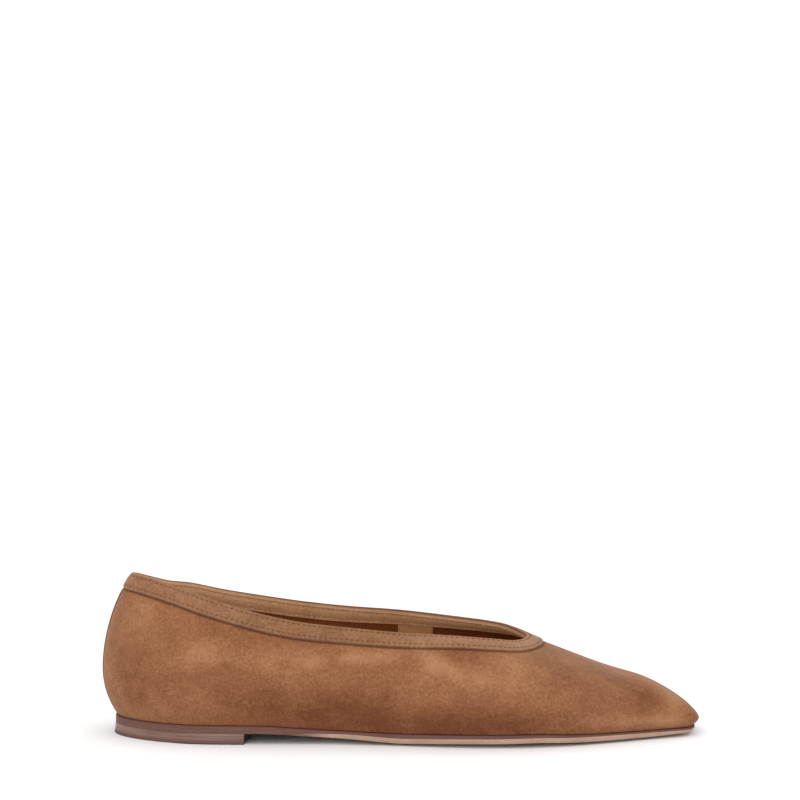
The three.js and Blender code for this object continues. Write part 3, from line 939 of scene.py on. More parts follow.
# Lateral marks: raised ones are painted lighter as painted highlight, sunk ones darker as painted shade.
LATERAL_MARKS = (
    SoftMark(0.065, 0.77, (6, 12), 0, 0.0, 0.25),
    SoftMark(0.15, 0.55, (13, 6), 8, 0.3, 0.55),
    SoftMark(0.26, 0.5, (14, 5), -12, 0.3, 0.3),
    SoftMark(0.348, 0.51, (6, 3), 4, 0.25, 0.55),
    SoftMark(0.44, 0.535, (12, 3), 2, 0.4, 0.6),
    SoftMark(0.552, 0.495, (6, 3.5), -24, 0.3, 0.65),
    SoftMark(0.59, 0.42, (10, 3), -42, 0.3, 0.35),
    SoftMark(0.625, 0.41, (7, 4), -24, 0.3, 0.4),
    SoftMark(0.69, 0.41, (8, 7), -34, 0.3, 0.45),
    SoftMark(0.9, 0.125, (22, 2.5), -4, 0.0, 0.7),
    SoftMark(0.955, 0.2, (6, 5), -40, 0.0, 0.5),
    SoftMark(0.045, 0.34, (6, 7), 0, -0.15, -0.2),
    SoftMark(0.2, 0.66, (12, 4), -14, -0.2, -0.1),
    SoftMark(0.27, 0.66, (12, 4), -14, -0.25, -0.1),
    SoftMark(0.27, 0.31, (10, 7), -14, -0.25, -0.35),
    SoftMark(0.2, 0.36, (7, 4), 20, -0.2, -0.15),
    SoftMark(0.6, 0.545, (9, 3.5), -10, -0.3, -0.25),
    SoftMark(0.4, 0.3, (14, 5), -6, -0.3, -0.2),
    SoftMark(0.51, 0.36, (8, 5), -30, -0.25, -0.1),
    # Painted shade: the lower wall darkened where it turns under toward the floor.
    SoftMark(0.36, 0.2, (26, 8), 0, -0.2, -0.65),
    SoftMark(0.6, 0.14, (44, 7), 0, 0.0, -0.85),
    SoftMark(0.86, 0.27, (14, 4), -14, -0.2, -0.15),
    # Toe ridge: raised, with painted light on the face above it and painted shade below it.
    SoftMark(0.895, 0.37, (24, 1.7), -27, 0.7, 0.25),
    SoftMark(0.905, 0.42, (24, 3), -27, 0.0, 0.5),
    SoftMark(0.885, 0.31, (20, 2.2), -27, -0.3, -0.35),
    SoftMark(0.81, 0.5, (6, 1.1), -34, -0.5, -0.5),
    SoftMark(0.8, 0.53, (5, 1.1), -34, 0.4, 0.4),
)

# Medial marks: raised ones painted lighter as painted highlight, sunk ones darker as painted shade.
MEDIAL_MARKS = (
    SoftMark(0.16, 0.5, (12, 7), 8, 0.25, 0.25),
    SoftMark(0.33, 0.55, (16, 5), -10, 0.3, 0.25),
    SoftMark(0.5, 0.48, (14, 5), -6, 0.35, 0.25),
    SoftMark(0.64, 0.42, (9, 5), -22, 0.3, 0.2),
    SoftMark(0.25, 0.32, (12, 7), -8, -0.2, -0.22),
    SoftMark(0.42, 0.34, (13, 6), -8, -0.25, -0.22),
    SoftMark(0.58, 0.3, (16, 5), -8, -0.2, -0.2),
    SoftMark(0.9, 0.13, (20, 2.5), -4, 0.0, 0.25),
)


@dataclass
class Upper:
    """The suede upper with its lining, in one closed wall."""

    last: ShoeLast
    origin: Vector
    collar_stations: int = 220
    throat_stretch: float = 34.0
    throat_stations: int = 60
    vamp_stations: int = 170
    outer_rows: int = 68
    row_crowding: float = 1.6
    foot_rows: int = 12
    inner_rows: int = 12
    seam_raise: float = 0.75
    seam_width: float = 0.8
    seam_groove: float = 1.35
    groove_sink: float = 0.35
    rim: Array = field(default_factory=lambda: np.zeros((0, 3)))
    crease_sink: float = 0.3
    crease_width: float = 0.42
    crease_shade: float = 0.85

    def stations(self) -> tuple[Array, Array]:
        """Stations of the collar, crowded at the throat, and of the vamp."""
        margin = self.last.sizes.sole_margin
        throat = self.last.station_at(self.last.sizes.throat_distance, margin)
        stretch = self.last.station_at(self.last.sizes.throat_distance - self.throat_stretch, margin)
        close = stretch + (throat - stretch) * np.sin(np.linspace(0, np.pi / 2, self.throat_stations + 1)[1:])
        collar = np.concatenate([np.linspace(0, stretch, self.collar_stations + 1), close])
        return collar, np.linspace(throat, 1, self.vamp_stations + 1)

    def marks(self, points: Array, row: Array) -> tuple[Array, Array]:
        """Adds up the soft marks at points of the outer skin.

        Args:
            points: Points in millimetres.
            row: Their rows, below zero on the lateral side.

        Returns:
            The raise in millimetres and the painted lightness: brushed suede with painted highlight and shade.
        """
        raised, nap = np.zeros(points.shape[:-1]), np.zeros(points.shape[:-1])
        for side, marks in ((Side.LATERAL, LATERAL_MARKS), (Side.MEDIAL, MEDIAL_MARKS)):
            on_side = smoothstep(side.value * row, 0.0, 0.35)
            for mark in marks:
                weight = mark.weight(points[..., 0], points[..., 2], self.last.sizes) * on_side
                raised += mark.raise_mm * weight
                nap += mark.nap * weight
        return raised, nap

    def skin(self, station: Array, row: Array, below_rim: Array) -> tuple[Array, Array, Array]:
        """The outer skin with its soft marks and its raised centre-back bead.

        Args:
            station: Stations, one for each ring.
            row: Rows, rings by places.
            below_rim: Share from 0 at the topline to 1 well below it.

        Returns:
            Points, lightness of the brushed suede with its painted highlight and shade, and painted shade values.
        """
        grid_station = np.broadcast_to(station[:, None], row.shape)
        points = self.last.point(grid_station, row)
        normal = self.last.normal(np.minimum(grid_station, 0.9985), row)
        raised, nap = self.marks(points, row)
        behind = smoothstep(self.last.sizes.fan_centre - points[..., 0], 0, 6)
        aside = np.abs(points[..., 1])
        bead = np.exp(-((aside / self.seam_width) ** 2)) * behind
        groove = np.exp(-(((aside - self.seam_groove) / self.seam_width) ** 2)) * behind
        below_strip = self.rim_distance(points) - self.last.sizes.binding_width - self.crease_width
        crease = np.exp(-((below_strip / self.crease_width) ** 2))
        toe_fade = smoothstep(1 - grid_station, 0.01, 0.06)
        foot_fade = smoothstep(2 - np.abs(row), 0.0, 0.5)
        lift = raised * below_rim * foot_fade * toe_fade - self.crease_sink * crease
        lift += (self.seam_raise * bead - self.groove_sink * groove) * below_rim
        # Painted shade: darker in the groove beside the back seam, and a painted shadow line under the binding's
        # lower edge.
        dark = np.maximum(groove * smoothstep(below_rim, 0.2, 0.6), self.crease_shade * crease)
        return points + normal * lift[..., None], nap, dark

    def rim_distance(self, points: Array) -> Array:
        """Distance of each point from the opening's edge, in millimetres."""
        tree = KDTree(len(self.rim))
        for number, place in enumerate(self.rim):
            tree.insert(place, number)
        tree.balance()
        flat = points.reshape(-1, 3)
        return np.array([tree.find(place)[2] for place in flat]).reshape(points.shape[:-1])

    def rows(self, side: Side, top: Array) -> Array:
        """Rows of one wall from its foot to its top, for each station."""
        foot = np.linspace(2, 1, self.foot_rows + 1)[:-1] * side.value
        share = 1 - (1 - np.linspace(0, 1, self.outer_rows + 1)) ** self.row_crowding
        wall = side.value + (top[:, None] - side.value) * share
        return np.concatenate([np.broadcast_to(foot, (len(top), len(foot))), wall], axis=1)

    def inner(self, station: Array, side: Side, top: Array) -> Array:
        """Lining face of one wall from its foot to its top."""
        share = np.linspace(0, 1, self.inner_rows + 1)
        row = 2 * side.value + (top[:, None] - 2 * side.value) * share
        return self.last.point(np.broadcast_to(station[:, None], row.shape), row, self.last.sizes.wall)

    def add_wall(self, raw: RawMesh, station: Array, side: Side) -> None:
        """Adds one side of the collar.

        Args:
            raw: Where the faces go.
            station: The collar's stations.
            side: Which wall.
        """
        top = self.last.topline_row(station, side)
        top[-1] = 0.0
        row = self.rows(side, top)
        depth = np.abs(row - top[:, None])
        below = smoothstep(depth, 0.02, 0.16)
        outer, nap, seam = self.skin(station, row, below)
        inner = self.inner(station, side, top)
        order = slice(None) if side is Side.LATERAL else slice(None, None, -1)
        ring = np.concatenate([outer[:, order], inner[:, ::-1][:, order]], axis=1)
        zero = np.zeros((len(station), inner.shape[1]))
        places = ring.shape[1]
        slot = np.zeros(places, int)
        slot[row.shape[1] : places - 1] = 1
        if side is Side.MEDIAL:
            slot[row.shape[1] - 1] = 0
        raw.add_grid(
            ring,
            slot,
            nap=np.concatenate([nap[:, order], zero], axis=1),
            seam=np.concatenate([seam[:, order], zero], axis=1),
        )

    def add_vamp(self, raw: RawMesh, station: Array) -> None:
        """Adds the closed forepart.

        Args:
            raw: Where the faces go.
            station: The vamp's stations.
        """
        top = np.zeros(len(station))
        lateral, medial = self.rows(Side.LATERAL, top), self.rows(Side.MEDIAL, top)[:, ::-1]
        row = np.concatenate([lateral, medial[:, 1:]], axis=1)
        outer, nap, seam = self.skin(station, row, np.ones_like(row))
        left, right = self.inner(station, Side.LATERAL, top), self.inner(station, Side.MEDIAL, top)[:, ::-1]
        inner = np.concatenate([left, right[:, 1:]], axis=1)
        ring = np.concatenate([outer, inner[:, ::-1]], axis=1)
        zero = np.zeros((len(station), inner.shape[1]))
        slot = np.zeros(ring.shape[1], int)
        slot[row.shape[1] : -1] = 1
        raw.add_grid(ring, slot, nap=np.concatenate([nap, zero], axis=1), seam=np.concatenate([seam, zero], axis=1))

    def build(self, suede: bpy.types.Material, lining: bpy.types.Material) -> bpy.types.Object:
        """Builds the upper.

        Args:
            suede: Material of the outer skin.
            lining: Material of the inner face.

        Returns:
            The upper's object.
        """
        raw = RawMesh()
        collar, vamp = self.stations()
        self.add_wall(raw, collar, Side.LATERAL)
        self.add_wall(raw, collar, Side.MEDIAL)
        self.add_vamp(raw, vamp)
        piece = raw.build("upper_suede", self.origin, [suede, lining])
        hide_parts("upper")
        return piece


@dataclass
class Topline:
    """The binding that is folded over the opening's edge, and its rows of stitches."""

    last: ShoeLast
    origin: Vector
    spacing: float = 0.55
    walk_step: float = 0.4
    stitch_pitch: float = 2.2
    stitch_depths: tuple[float, float] = (0.65, 5.3)
    stitch_sink: float = 0.16
    fold_thickness: float = 0.62
    fold_rise: float = 0.95
    fold_places: int = 15
    fine_step: float = 0.16
    edge_radius: float = 0.45
    skived_to: float = 2.6
    padding: float = 0.1
    hole_reach: float = 0.42
    pull: float = 0.06
    pull_reach: float = 0.9
    thread_size: tuple[float, float, float] = (1.25, 0.36, 0.32)
    station: Array = field(init=False)
    row: Array = field(init=False)
    along: Array = field(init=False)
    edge: Array = field(init=False)

    def __post_init__(self) -> None:
        """Spreads the loop's stations evenly round the opening."""
        margin = self.last.sizes.sole_margin
        throat = self.last.station_at(self.last.sizes.throat_distance, margin)
        coarse = np.sin(np.linspace(0, np.pi / 2, 900)) * throat
        loop_station, loop_row = [], []
        for side in (Side.LATERAL, Side.MEDIAL):
            station = coarse if side is Side.LATERAL else coarse[::-1]
            row = self.last.topline_row(station, side)
            row = np.where(station >= throat, 0.0, row)
            keep = slice(None) if side is Side.LATERAL else slice(1, None)
            loop_station.append(station[keep])
            loop_row.append(row[keep])
        station, row = np.concatenate(loop_station), np.concatenate(loop_row)
        edge = self.last.point(station, row)
        length = np.concatenate([[0], np.cumsum(np.linalg.norm(np.diff(edge, axis=0), axis=1))])
        count = int(length[-1] / self.spacing)
        even = np.linspace(0, length[-1], count, endpoint=False)
        self.station = np.interp(even, length, station)
        self.row = self._rows_at(even, length, row, station)
        self.edge = self.last.point(self.station, self.row)
        self.along = unit(np.roll(self.edge, -1, axis=0) - np.roll(self.edge, 1, axis=0))

    def _rows_at(self, even: Array, length: Array, row: Array, station: Array) -> Array:
        """Rows at even lengths, kept exactly on the opening's edge."""
        rough = np.interp(even, length, row)
        throat = station.max()
        exact = rough.copy()
        here = np.interp(even, length, station)
        for side in Side:
            on_side = (rough * side.value > 0) & (here < throat)
            exact[on_side] = self.last.topline_row(here[on_side], side)
        return exact

    def walk(self, depths: Array, inset: float) -> tuple[Array, Array]:
        """Walks down the wall from the edge.

        Args:
            depths: Rising depths below the edge, millimetres.
            inset: The face that the depth is measured on.

        Returns:
            Points and outward normals, loop places by depths.
        """
        station, row = self.station.copy(), self.row.copy()
        reached, points, normals = 0.0, [], []
        for depth in depths:
            count = max(1, int(math.ceil((depth - reached) / self.walk_step)))
            for _ in range(count):
                by_station, by_row = self.last.steps(station, row, inset)
                normal = unit(np.cross(by_station, by_row))
                down = unit(np.cross(self.along, normal))
                ee, ff = (by_station**2).sum(-1), (by_row**2).sum(-1)
                ef = (by_station * by_row).sum(-1)
                de, df = (down * by_station).sum(-1), (down * by_row).sum(-1)
                area = ee * ff - ef * ef
                step = (depth - reached) / count
                station = station + (de * ff - df * ef) / area * step
                row = row + (df * ee - de * ef) / area * step
            reached = depth
            points.append(self.last.point(station, row, inset))
            normals.append(self.last.normal(station, row, inset))
        return np.stack(points, axis=1), np.stack(normals, axis=1)

    def stitch_phase(self, line: Array) -> tuple[Array, int]:
        """How far along a row of stitches each loop place is.

        Args:
            line: The row's points.

        Returns:
            The phase in whole stitches, and their number.
        """
        steps = np.linalg.norm(np.roll(line, -1, axis=0) - line, axis=1)
        length = np.concatenate([[0], np.cumsum(steps)])
        count = round(length[-1] / self.stitch_pitch)
        return length[:-1] / length[-1] * count, count

    def build(
        self, suede: bpy.types.Material, painted_light_facing: bpy.types.Material, thread: dict[Side, bpy.types.Material]
    ) -> list[bpy.types.Object]:
        """Builds the binding and its stitches.

        Args:
            suede: Material of the strip's outer leg and fold.
            painted_light_facing: Material of its inner leg, the strip's suede painted lighter as painted light.
            thread: Materials of the stitches on the outer and the inner leg.

        Returns:
            The binding and one object for each row of stitches.
        """
        s = self.last.sizes
        gap, thick, width = s.clearance * 0.35, s.binding_thickness + s.clearance * 0.65, s.binding_width
        near_rows = [np.arange(low, high, self.fine_step) for low, high in ((0.17, 1.2), (4.9, 5.75))]
        between, below = [1.5, 2.0, 2.8, 3.6, 4.2, 4.6], [5.95, 6.2, 6.4, 6.53, width]
        depths = np.concatenate([[0.0], near_rows[0], between, near_rows[1], below])
        edge_round = np.clip((width - depths) / self.edge_radius, 0, 1)
        skived = self.fold_thickness + (thick - self.fold_thickness) * smoothstep(depths, 0.0, self.skived_to)
        body = gap + (skived - gap) * np.sqrt(np.maximum(1 - (1 - edge_round) ** 2, 0))
        faces: dict[Side, tuple[Array, Array]] = {}
        stitches: list[bpy.types.Object] = []
        for face, inset, name in ((Side.LATERAL, 0.0, "outer"), (Side.MEDIAL, s.wall, "inner")):
            wall, normal = self.walk(depths, inset)
            if face is Side.MEDIAL:
                normal = -normal
            height = np.broadcast_to(body, wall.shape[:2]).copy()
            first, last_row = self.stitch_depths
            swell = self.padding * np.sin(np.clip((depths - first) / (last_row - first), 0, 1) * np.pi)
            height += swell
            for number, depth in enumerate(self.stitch_depths):
                place = int(np.argmin(np.abs(depths - depth)))
                line = wall[:, place] + normal[:, place] * body[place]
                phase, count = self.stitch_phase(line)
                hole = 0.55 + 0.45 * np.cos(2 * np.pi * phase)
                groove = np.exp(-(((depths - depth) / self.hole_reach) ** 2))
                height -= self.stitch_sink * groove[None, :] * hole[:, None]
                height -= self.pull * np.exp(-(((depths - depth) / self.pull_reach) ** 2))[None, :]
                seat = wall[:, place] + normal[:, place] * (body[place] - self.stitch_sink * 0.5)
                label = f"stitches_{name}_{number + 1}"
                stitches.append(self.stitch_row(label, seat, normal[:, place], count, thread[face]))
            faces[face] = (wall + normal * height[..., None], wall + normal * gap)
        outer, outer_under = faces[Side.LATERAL]
        inner, inner_under = faces[Side.MEDIAL]
        middle = (outer[:, 0] + inner[:, 0]) / 2
        half = np.linalg.norm(outer[:, 0] - inner[:, 0], axis=1) / 2
        sideways = unit(outer[:, 0] - inner[:, 0])
        upward = unit(np.cross(sideways, self.along))
        angles = np.linspace(0, np.pi, self.fold_places)[1:-1]
        roll = (
            middle[:, None]
            + sideways[:, None] * (half[:, None, None] * np.cos(angles)[None, :, None])
            + upward[:, None] * (self.fold_rise * np.sin(angles)[None, :, None])
        )
        ring = np.concatenate([outer[:, ::-1], roll, inner, inner_under[:, ::-2], outer_under[:, ::2]], axis=1)
        outside, folded, inside = outer.shape[1], roll.shape[1], inner.shape[1]
        slot = np.zeros(ring.shape[1], int)
        # The inner half of the fold and the inner leg take the lighter suede, painted light for the leg that faces
        # into the shoe.
        slot[outside + folded // 2 : outside + folded + inside] = 1
        # Painted shade along the fold on the far, medial side, seen over the near rim.
        far = smoothstep(ring[:, outside, 1], -4.0, 4.0)
        far_fold_shade = np.zeros(ring.shape[:2])
        far_fold_shade[:, outside : outside + folded] = 0.8 * far[:, None] * np.sin(angles) ** 4
        # Binding lightness along its length, darker from about 40 mm and lighter from about 112 mm: brushed suede and
        # painted light together.
        nap = np.zeros(ring.shape[:2])
        lengthwise = ring[:, outside, 0]
        nap += (0.45 * smoothstep(lengthwise, 112, 140) - 0.22 * smoothstep(lengthwise, 40, 75))[:, None]
        raw = RawMesh()
        closed = np.concatenate([ring, ring[:1]], axis=0)
        far_fold_shade, nap = (np.concatenate([value, value[:1]], axis=0) for value in (far_fold_shade, nap))
        raw.add_grid(closed, slot, seam=far_fold_shade, nap=nap)
        piece = raw.build("topline_binding_suede", self.origin, [suede, painted_light_facing], 75.0)
        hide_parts("topline_binding")
        return [piece, *stitches]

    def stitch_row(
        self, name: str, line: Array, normal: Array, count: int, thread: bpy.types.Material
    ) -> bpy.types.Object:
        """Sews one row of stitches with geometry nodes.

        Args:
            name: The row's name.
            line: Closed line that the stitches follow.
            normal: Outward normals along it.
            count: Number of stitches.
            thread: Their material.

        Returns:
            The row as one plain mesh.
        """
        mesh = bpy.data.meshes.new(name + "_line")
        total = len(line)
        place = line * MM + np.array(self.origin)
        mesh.from_pydata(place.tolist(), [(i, (i + 1) % total) for i in range(total)], [])
        layer = mesh.attributes.new("wall_normal", "FLOAT_VECTOR", "POINT")
        layer.data.foreach_set("vector", normal.astype(np.float32).reshape(-1))
        guide = put(name + "_guide", mesh)
        sewer = StitchNodes(thread)
        modifier = guide.modifiers.new("sew", "NODES")
        modifier.node_group = sewer.tree
        length, wide, thick = self.thread_size
        for label, value in (("Count", count), ("Length", length * MM), ("Width", wide * MM), ("Height", thick * MM)):
            modifier[sewer.inputs[label]] = value
        evaluated = guide.evaluated_get(bpy.context.evaluated_depsgraph_get())
        result = bpy.data.meshes.new_from_object(evaluated)
        guide.modifiers.clear()
        bpy.data.objects.remove(guide)
        result.name = name
        result.materials.clear()
        result.materials.append(thread)
        result.polygons.foreach_set("use_smooth", np.ones(len(result.polygons), dtype=bool))
        piece = put(name, result)
        log.info("%s: %d stitches, %d faces", name, count, len(result.polygons))
        return piece


class StitchNodes:
    """Geometry nodes that lay stitches along a closed line."""

    def __init__(self, thread: bpy.types.Material) -> None:
        """Builds the tree.

        Args:
            thread: Material of the stitches.
        """
        self.tree = bpy.data.node_groups.new("sew_row", "GeometryNodeTree")
        self.inputs: dict[str, str] = {}
        face = self.tree.interface
        face.new_socket("Geometry", in_out="INPUT", socket_type="NodeSocketGeometry")
        for label, kind in (("Count", "Int"), ("Length", "Float"), ("Width", "Float"), ("Height", "Float")):
            socket = face.new_socket(label, in_out="INPUT", socket_type=f"NodeSocket{kind}")
            self.inputs[label] = socket.identifier
        face.new_socket("Geometry", in_out="OUTPUT", socket_type="NodeSocketGeometry")
        start = self.node("NodeGroupInput")
        curve = self.node("GeometryNodeMeshToCurve", {}, {"Mesh": start.outputs["Geometry"]})
        points = {"Curve": curve.outputs[0], "Count": start.outputs["Count"]}
        even = self.node("GeometryNodeResampleCurve", {"mode": "COUNT"}, points)
        tangent = self.node("GeometryNodeInputTangent")
        outward = self.node("GeometryNodeInputNamedAttribute", {"data_type": "FLOAT_VECTOR"}, {"Name": "wall_normal"})
        first = self.node("FunctionNodeAlignRotationToVector", {"axis": "X"}, {"Vector": tangent.outputs[0]})
        second = self.node(
            "FunctionNodeAlignRotationToVector",
            {"axis": "Z", "pivot_axis": "X"},
            {"Rotation": first.outputs[0], "Vector": outward.outputs["Attribute"]},
        )
        size = self.node(
            "ShaderNodeCombineXYZ",
            {},
            {"X": start.outputs["Length"], "Y": start.outputs["Width"], "Z": start.outputs["Height"]},
        )
        bead = self.node("GeometryNodeMeshUVSphere", {}, {"Segments": 8, "Rings": 6, "Radius": 0.5})
        placed = self.node(
            "GeometryNodeInstanceOnPoints",
            {},
            {
                "Points": even.outputs[0],
                "Instance": bead.outputs["Mesh"],
                "Rotation": second.outputs[0],
                "Scale": size.outputs[0],
            },
        )
        real = self.node("GeometryNodeRealizeInstances", {}, {"Geometry": placed.outputs[0]})
        dressed = self.node("GeometryNodeSetMaterial", {}, {"Geometry": real.outputs[0], "Material": thread})
        self.node("NodeGroupOutput", {}, {"Geometry": dressed.outputs[0]})

    def node(
        self, kind: str, settings: dict[str, Any] | None = None, sockets: dict[str, Any] | None = None
    ) -> bpy.types.Node:
        """Adds one node.

        Args:
            kind: The node's type.
            settings: Its properties, set first.
            sockets: Values or outputs for its inputs.

        Returns:
            The node.
        """
        made = self.tree.nodes.new(kind)
        for name, value in (settings or {}).items():
            setattr(made, name, value)
        for name, value in (sockets or {}).items():
            if isinstance(value, bpy.types.NodeSocket):
                self.tree.links.new(value, made.inputs[name])
            else:
                made.inputs[name].default_value = value
        return made


class Place(NamedTuple):
    """One place around a plate: its share of the half width, its insets, its height, its colour and its painted
    shade.
    """

    share: float
    inset: float
    bevelled: float
    height: Callable[[Array, Array, Array], Array]
    natural: float = 0.0
    crevice: float = 0.0

    def mirrored(self) -> "Place":
        """The same place on the other side."""
        return self._replace(share=-self.share)


@dataclass
class Bottom:
    """Outsole, heel and insole."""

    last: ShoeLast
    origin: Vector
    stations: int = 260
    heel_stations: int = 120
    heel_edge: float = 0.06
    layer_gap: float = 0.02
    across: int = 41
    edge_round: float = 0.3
    sock_round: float = 0.35
    sock_edge: float = 0.8
    sock_fullness: float = 0.25

    def plate_ring(self, station: Array, profile: list[Place]) -> Array:
        """Points of a plate.

        Args:
            station: Stations, one for each ring.
            profile: The places around it.

        Returns:
            Rings by places.
        """
        share = self.last.curves["bevel"](self.last.length_at(station, 0.0))
        bevel = np.clip((share - share[0]) / (1 - share[0]), 0, 1)
        lines = []
        for place in profile:
            x, lateral, medial, ends = self.last.outline(station, place.inset + place.bevelled * bevel)
            y = place.share * (lateral if place.share < 0 else medial)
            lines.append(np.stack([x, y, place.height(x, place.share * ends, bevel)], axis=-1))
        return np.stack(lines, axis=1)

    def plate(
        self, name: str, top: Place, bottom: Place, edge: list[Place], material: bpy.types.Material
    ) -> bpy.types.Object:
        """Builds a plate from its two faces and its edge.

        Args:
            name: The object's name.
            top: What holds all over the upper face.
            bottom: What holds all over the underside.
            edge: Places down the medial edge, which the lateral edge mirrors.
            material: Its finish.

        Returns:
            The plate's object.
        """
        shares = [float(share) for share in np.linspace(-1, 1, self.across)]
        profile = [top._replace(share=share) for share in shares]
        profile += edge
        profile += [bottom._replace(share=share) for share in reversed(shares)]
        profile += [place.mirrored() for place in reversed(edge)]
        ring = self.plate_ring(np.linspace(0, 1, self.stations + 1), profile)
        waist = smoothstep(ring[..., 0], *self.natural_from())
        raw = RawMesh()
        natural = np.array([place.natural for place in profile]) * waist
        raw.add_grid(ring, 0, natural=natural, crevice=np.array([place.crevice for place in profile])[None, :])
        return raw.build(name, self.origin, [material], 40.0)

    def natural_from(self) -> tuple[float, float]:
        """Where the dye of the heel and waist gives way to natural leather."""
        return self.last.sizes.heel_length + 14, self.last.sizes.heel_length + 34

    def outsole(self, material: bpy.types.Material) -> bpy.types.Object:
        """Builds the outsole with its rounded edge and bevel.

        Args:
            material: Its finish, which reads the place up the edge.

        Returns:
            The outsole's object.
        """
        s, last, r = self.last.sizes, self.last, self.edge_round

        def below_top(drop: float) -> Callable[[Array, Array, Array], Array]:
            """Height a little below the upper face."""
            return lambda x, share, bevel: last.seat(x, share) - drop

        def up_bevel(part: float, more: float = 0.0) -> Callable[[Array, Array, Array], Array]:
            """Height at a part of the bevel's rise, and a little more."""
            return lambda x, share, bevel: last.tread(x, share) + s.bevel_rise * bevel * part + more

        # The top of the edge and the whole upper face carry painted shade, dark where the upper meets the sole.
        edge = [
            Place(1.0, r * 0.3, 0.0, below_top(0.0), 0.0, 1.0),
            Place(1.0, 0.0, 0.0, below_top(r), 0.0, 0.6),
            Place(1.0, 0.0, 0.0, below_top(r * 2), 0.0, 0.0),
            Place(1.0, 0.0, 0.0, up_bevel(1.0, 0.1), 0.0, 0.0),
            Place(1.0, 0.0, s.bevel * 0.03, up_bevel(0.95), 1.0, 0.0),
            Place(1.0, 0.0, s.bevel * 0.5, up_bevel(0.5), 1.0, 0.0),
            Place(1.0, 0.0, s.bevel * 0.92, up_bevel(0.08), 1.0, 0.0),
        ]
        top = Place(0.0, r, 0.0, below_top(-0.15), 0.0, 1.0)
        bottom = Place(0.0, 0.0, s.bevel * 1.05, up_bevel(0.0), 1.0, 0.0)
        piece = self.plate("outsole_leather", top, bottom, edge, material)
        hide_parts("outsole")
        return piece

    def insole(self, sock: bpy.types.Material) -> bpy.types.Object:
        """Builds the insole with its slightly padded sock.

        Args:
            sock: Its finish.

        Returns:
            The insole's object.
        """
        s, last = self.last.sizes, self.last
        inset = s.sole_margin + s.wall + s.clearance

        def level(rise: float, full: float = 0.0) -> Callable[[Array, Array, Array], Array]:
            """Height above the outsole, a little fuller in the middle."""
            return lambda x, share, bevel: last.seat(x, share) + s.clearance + rise - full * np.asarray(share) ** 8

        top = Place(0.0, inset + self.sock_round, 0.0, level(s.insole_thickness, self.sock_fullness))
        edge = [
            Place(1.0, inset + self.sock_round / 4, 0.0, level(s.insole_thickness - self.sock_edge / 2)),
            Place(1.0, inset, 0.0, level(s.insole_thickness - self.sock_edge)),
        ]
        piece = self.plate("insole_sock", top, Place(0.0, inset, 0.0, level(0.0)), edge, sock)
        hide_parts("insole")
        return piece

    def heel_layer(
        self,
        name: str,
        bottom: float,
        top: float,
        soft: float,
        material: bpy.types.Material,
        breast: bpy.types.Material,
    ) -> bpy.types.Object:
        """Builds one flat layer of the heel with eased edges.

        Args:
            name: The object's name.
            bottom: Height of its underside.
            top: Height of its upper face.
            soft: Radius of its edges.
            material: Its finish.
            breast: Finish of its front face, painted near black as painted shade.

        Returns:
            The layer's object.
        """
        s = self.last.sizes
        station = np.linspace(0, self.last.station_at(s.heel_length, 0.0), self.heel_stations + 1)
        near = [(top, soft), (top - soft * 0.3, soft * 0.3), (top - soft, 0.0)]
        levels = near + [(bottom + top - z, inset) for z, inset in reversed(near)]

        def line(z: float, inset: float, side: Side) -> Array:
            """One line of points along the layer, up to its slanting breast."""
            x, lateral, medial, _ = self.last.outline(station, inset - s.heel_flare * (1 - z / s.heel_stack))
            turn = (x / s.heel_length) ** 2 * (s.breast_skew / np.maximum(lateral + medial, 1))
            y = side.value * (lateral if side is Side.LATERAL else medial)
            return np.stack([np.minimum(x, s.heel_length - inset) + turn * y, y, np.full_like(x, z)], axis=-1)

        ring = np.stack(
            [line(z, inset, Side.MEDIAL) for z, inset in levels]
            + [line(z, inset, Side.LATERAL) for z, inset in reversed(levels)],
            axis=1,
        )
        raw = RawMesh()
        raw.add_grid(ring)
        raw.add_end(ring.shape[1], 1)
        return raw.build(name, self.origin, [material, breast], 35.0)


@dataclass
class LiningTab:
    """A plain leather patch on the lining of the inner side."""

    last: ShoeLast
    origin: Vector
    start: float = 121.0
    width: float = 16.0
    depth_rows: tuple[float, float] = (0.5, 0.95)
    thickness: float = 0.45
    glue_gap: float = 0.03
    eased_share: float = 0.03

    def build(self, leather: bpy.types.Material) -> bpy.types.Object:
        """Builds the patch.

        Args:
            leather: Its finish.

        Returns:
            The patch's object.
        """
        s = self.last.sizes
        margin = s.sole_margin
        begin = self.last.station_at(self.start, margin)
        end = self.last.station_at(self.start + self.width, margin)
        station = np.linspace(begin, end, 29)
        row = np.linspace(self.depth_rows[0], self.depth_rows[1], 41)
        st, rw = np.meshgrid(station, row, indexing="ij")
        across = np.minimum(st - begin, end - st) / (end - begin)
        down = np.minimum(rw - row[0], row[-1] - rw) / (row[-1] - row[0])
        eased = np.sqrt(np.clip(np.minimum(across, down) / self.eased_share, 0, 1))
        proud = s.wall + self.glue_gap + self.thickness * eased
        face, back = self.last.point(st, rw, proud), self.last.point(st, rw, s.wall + self.glue_gap)
        ring = np.concatenate([face, back[:, ::-1]], axis=1)
        raw = RawMesh()
        raw.add_grid(ring)
        piece = raw.build("lining_tab", self.origin, [leather], 40.0)
        return piece


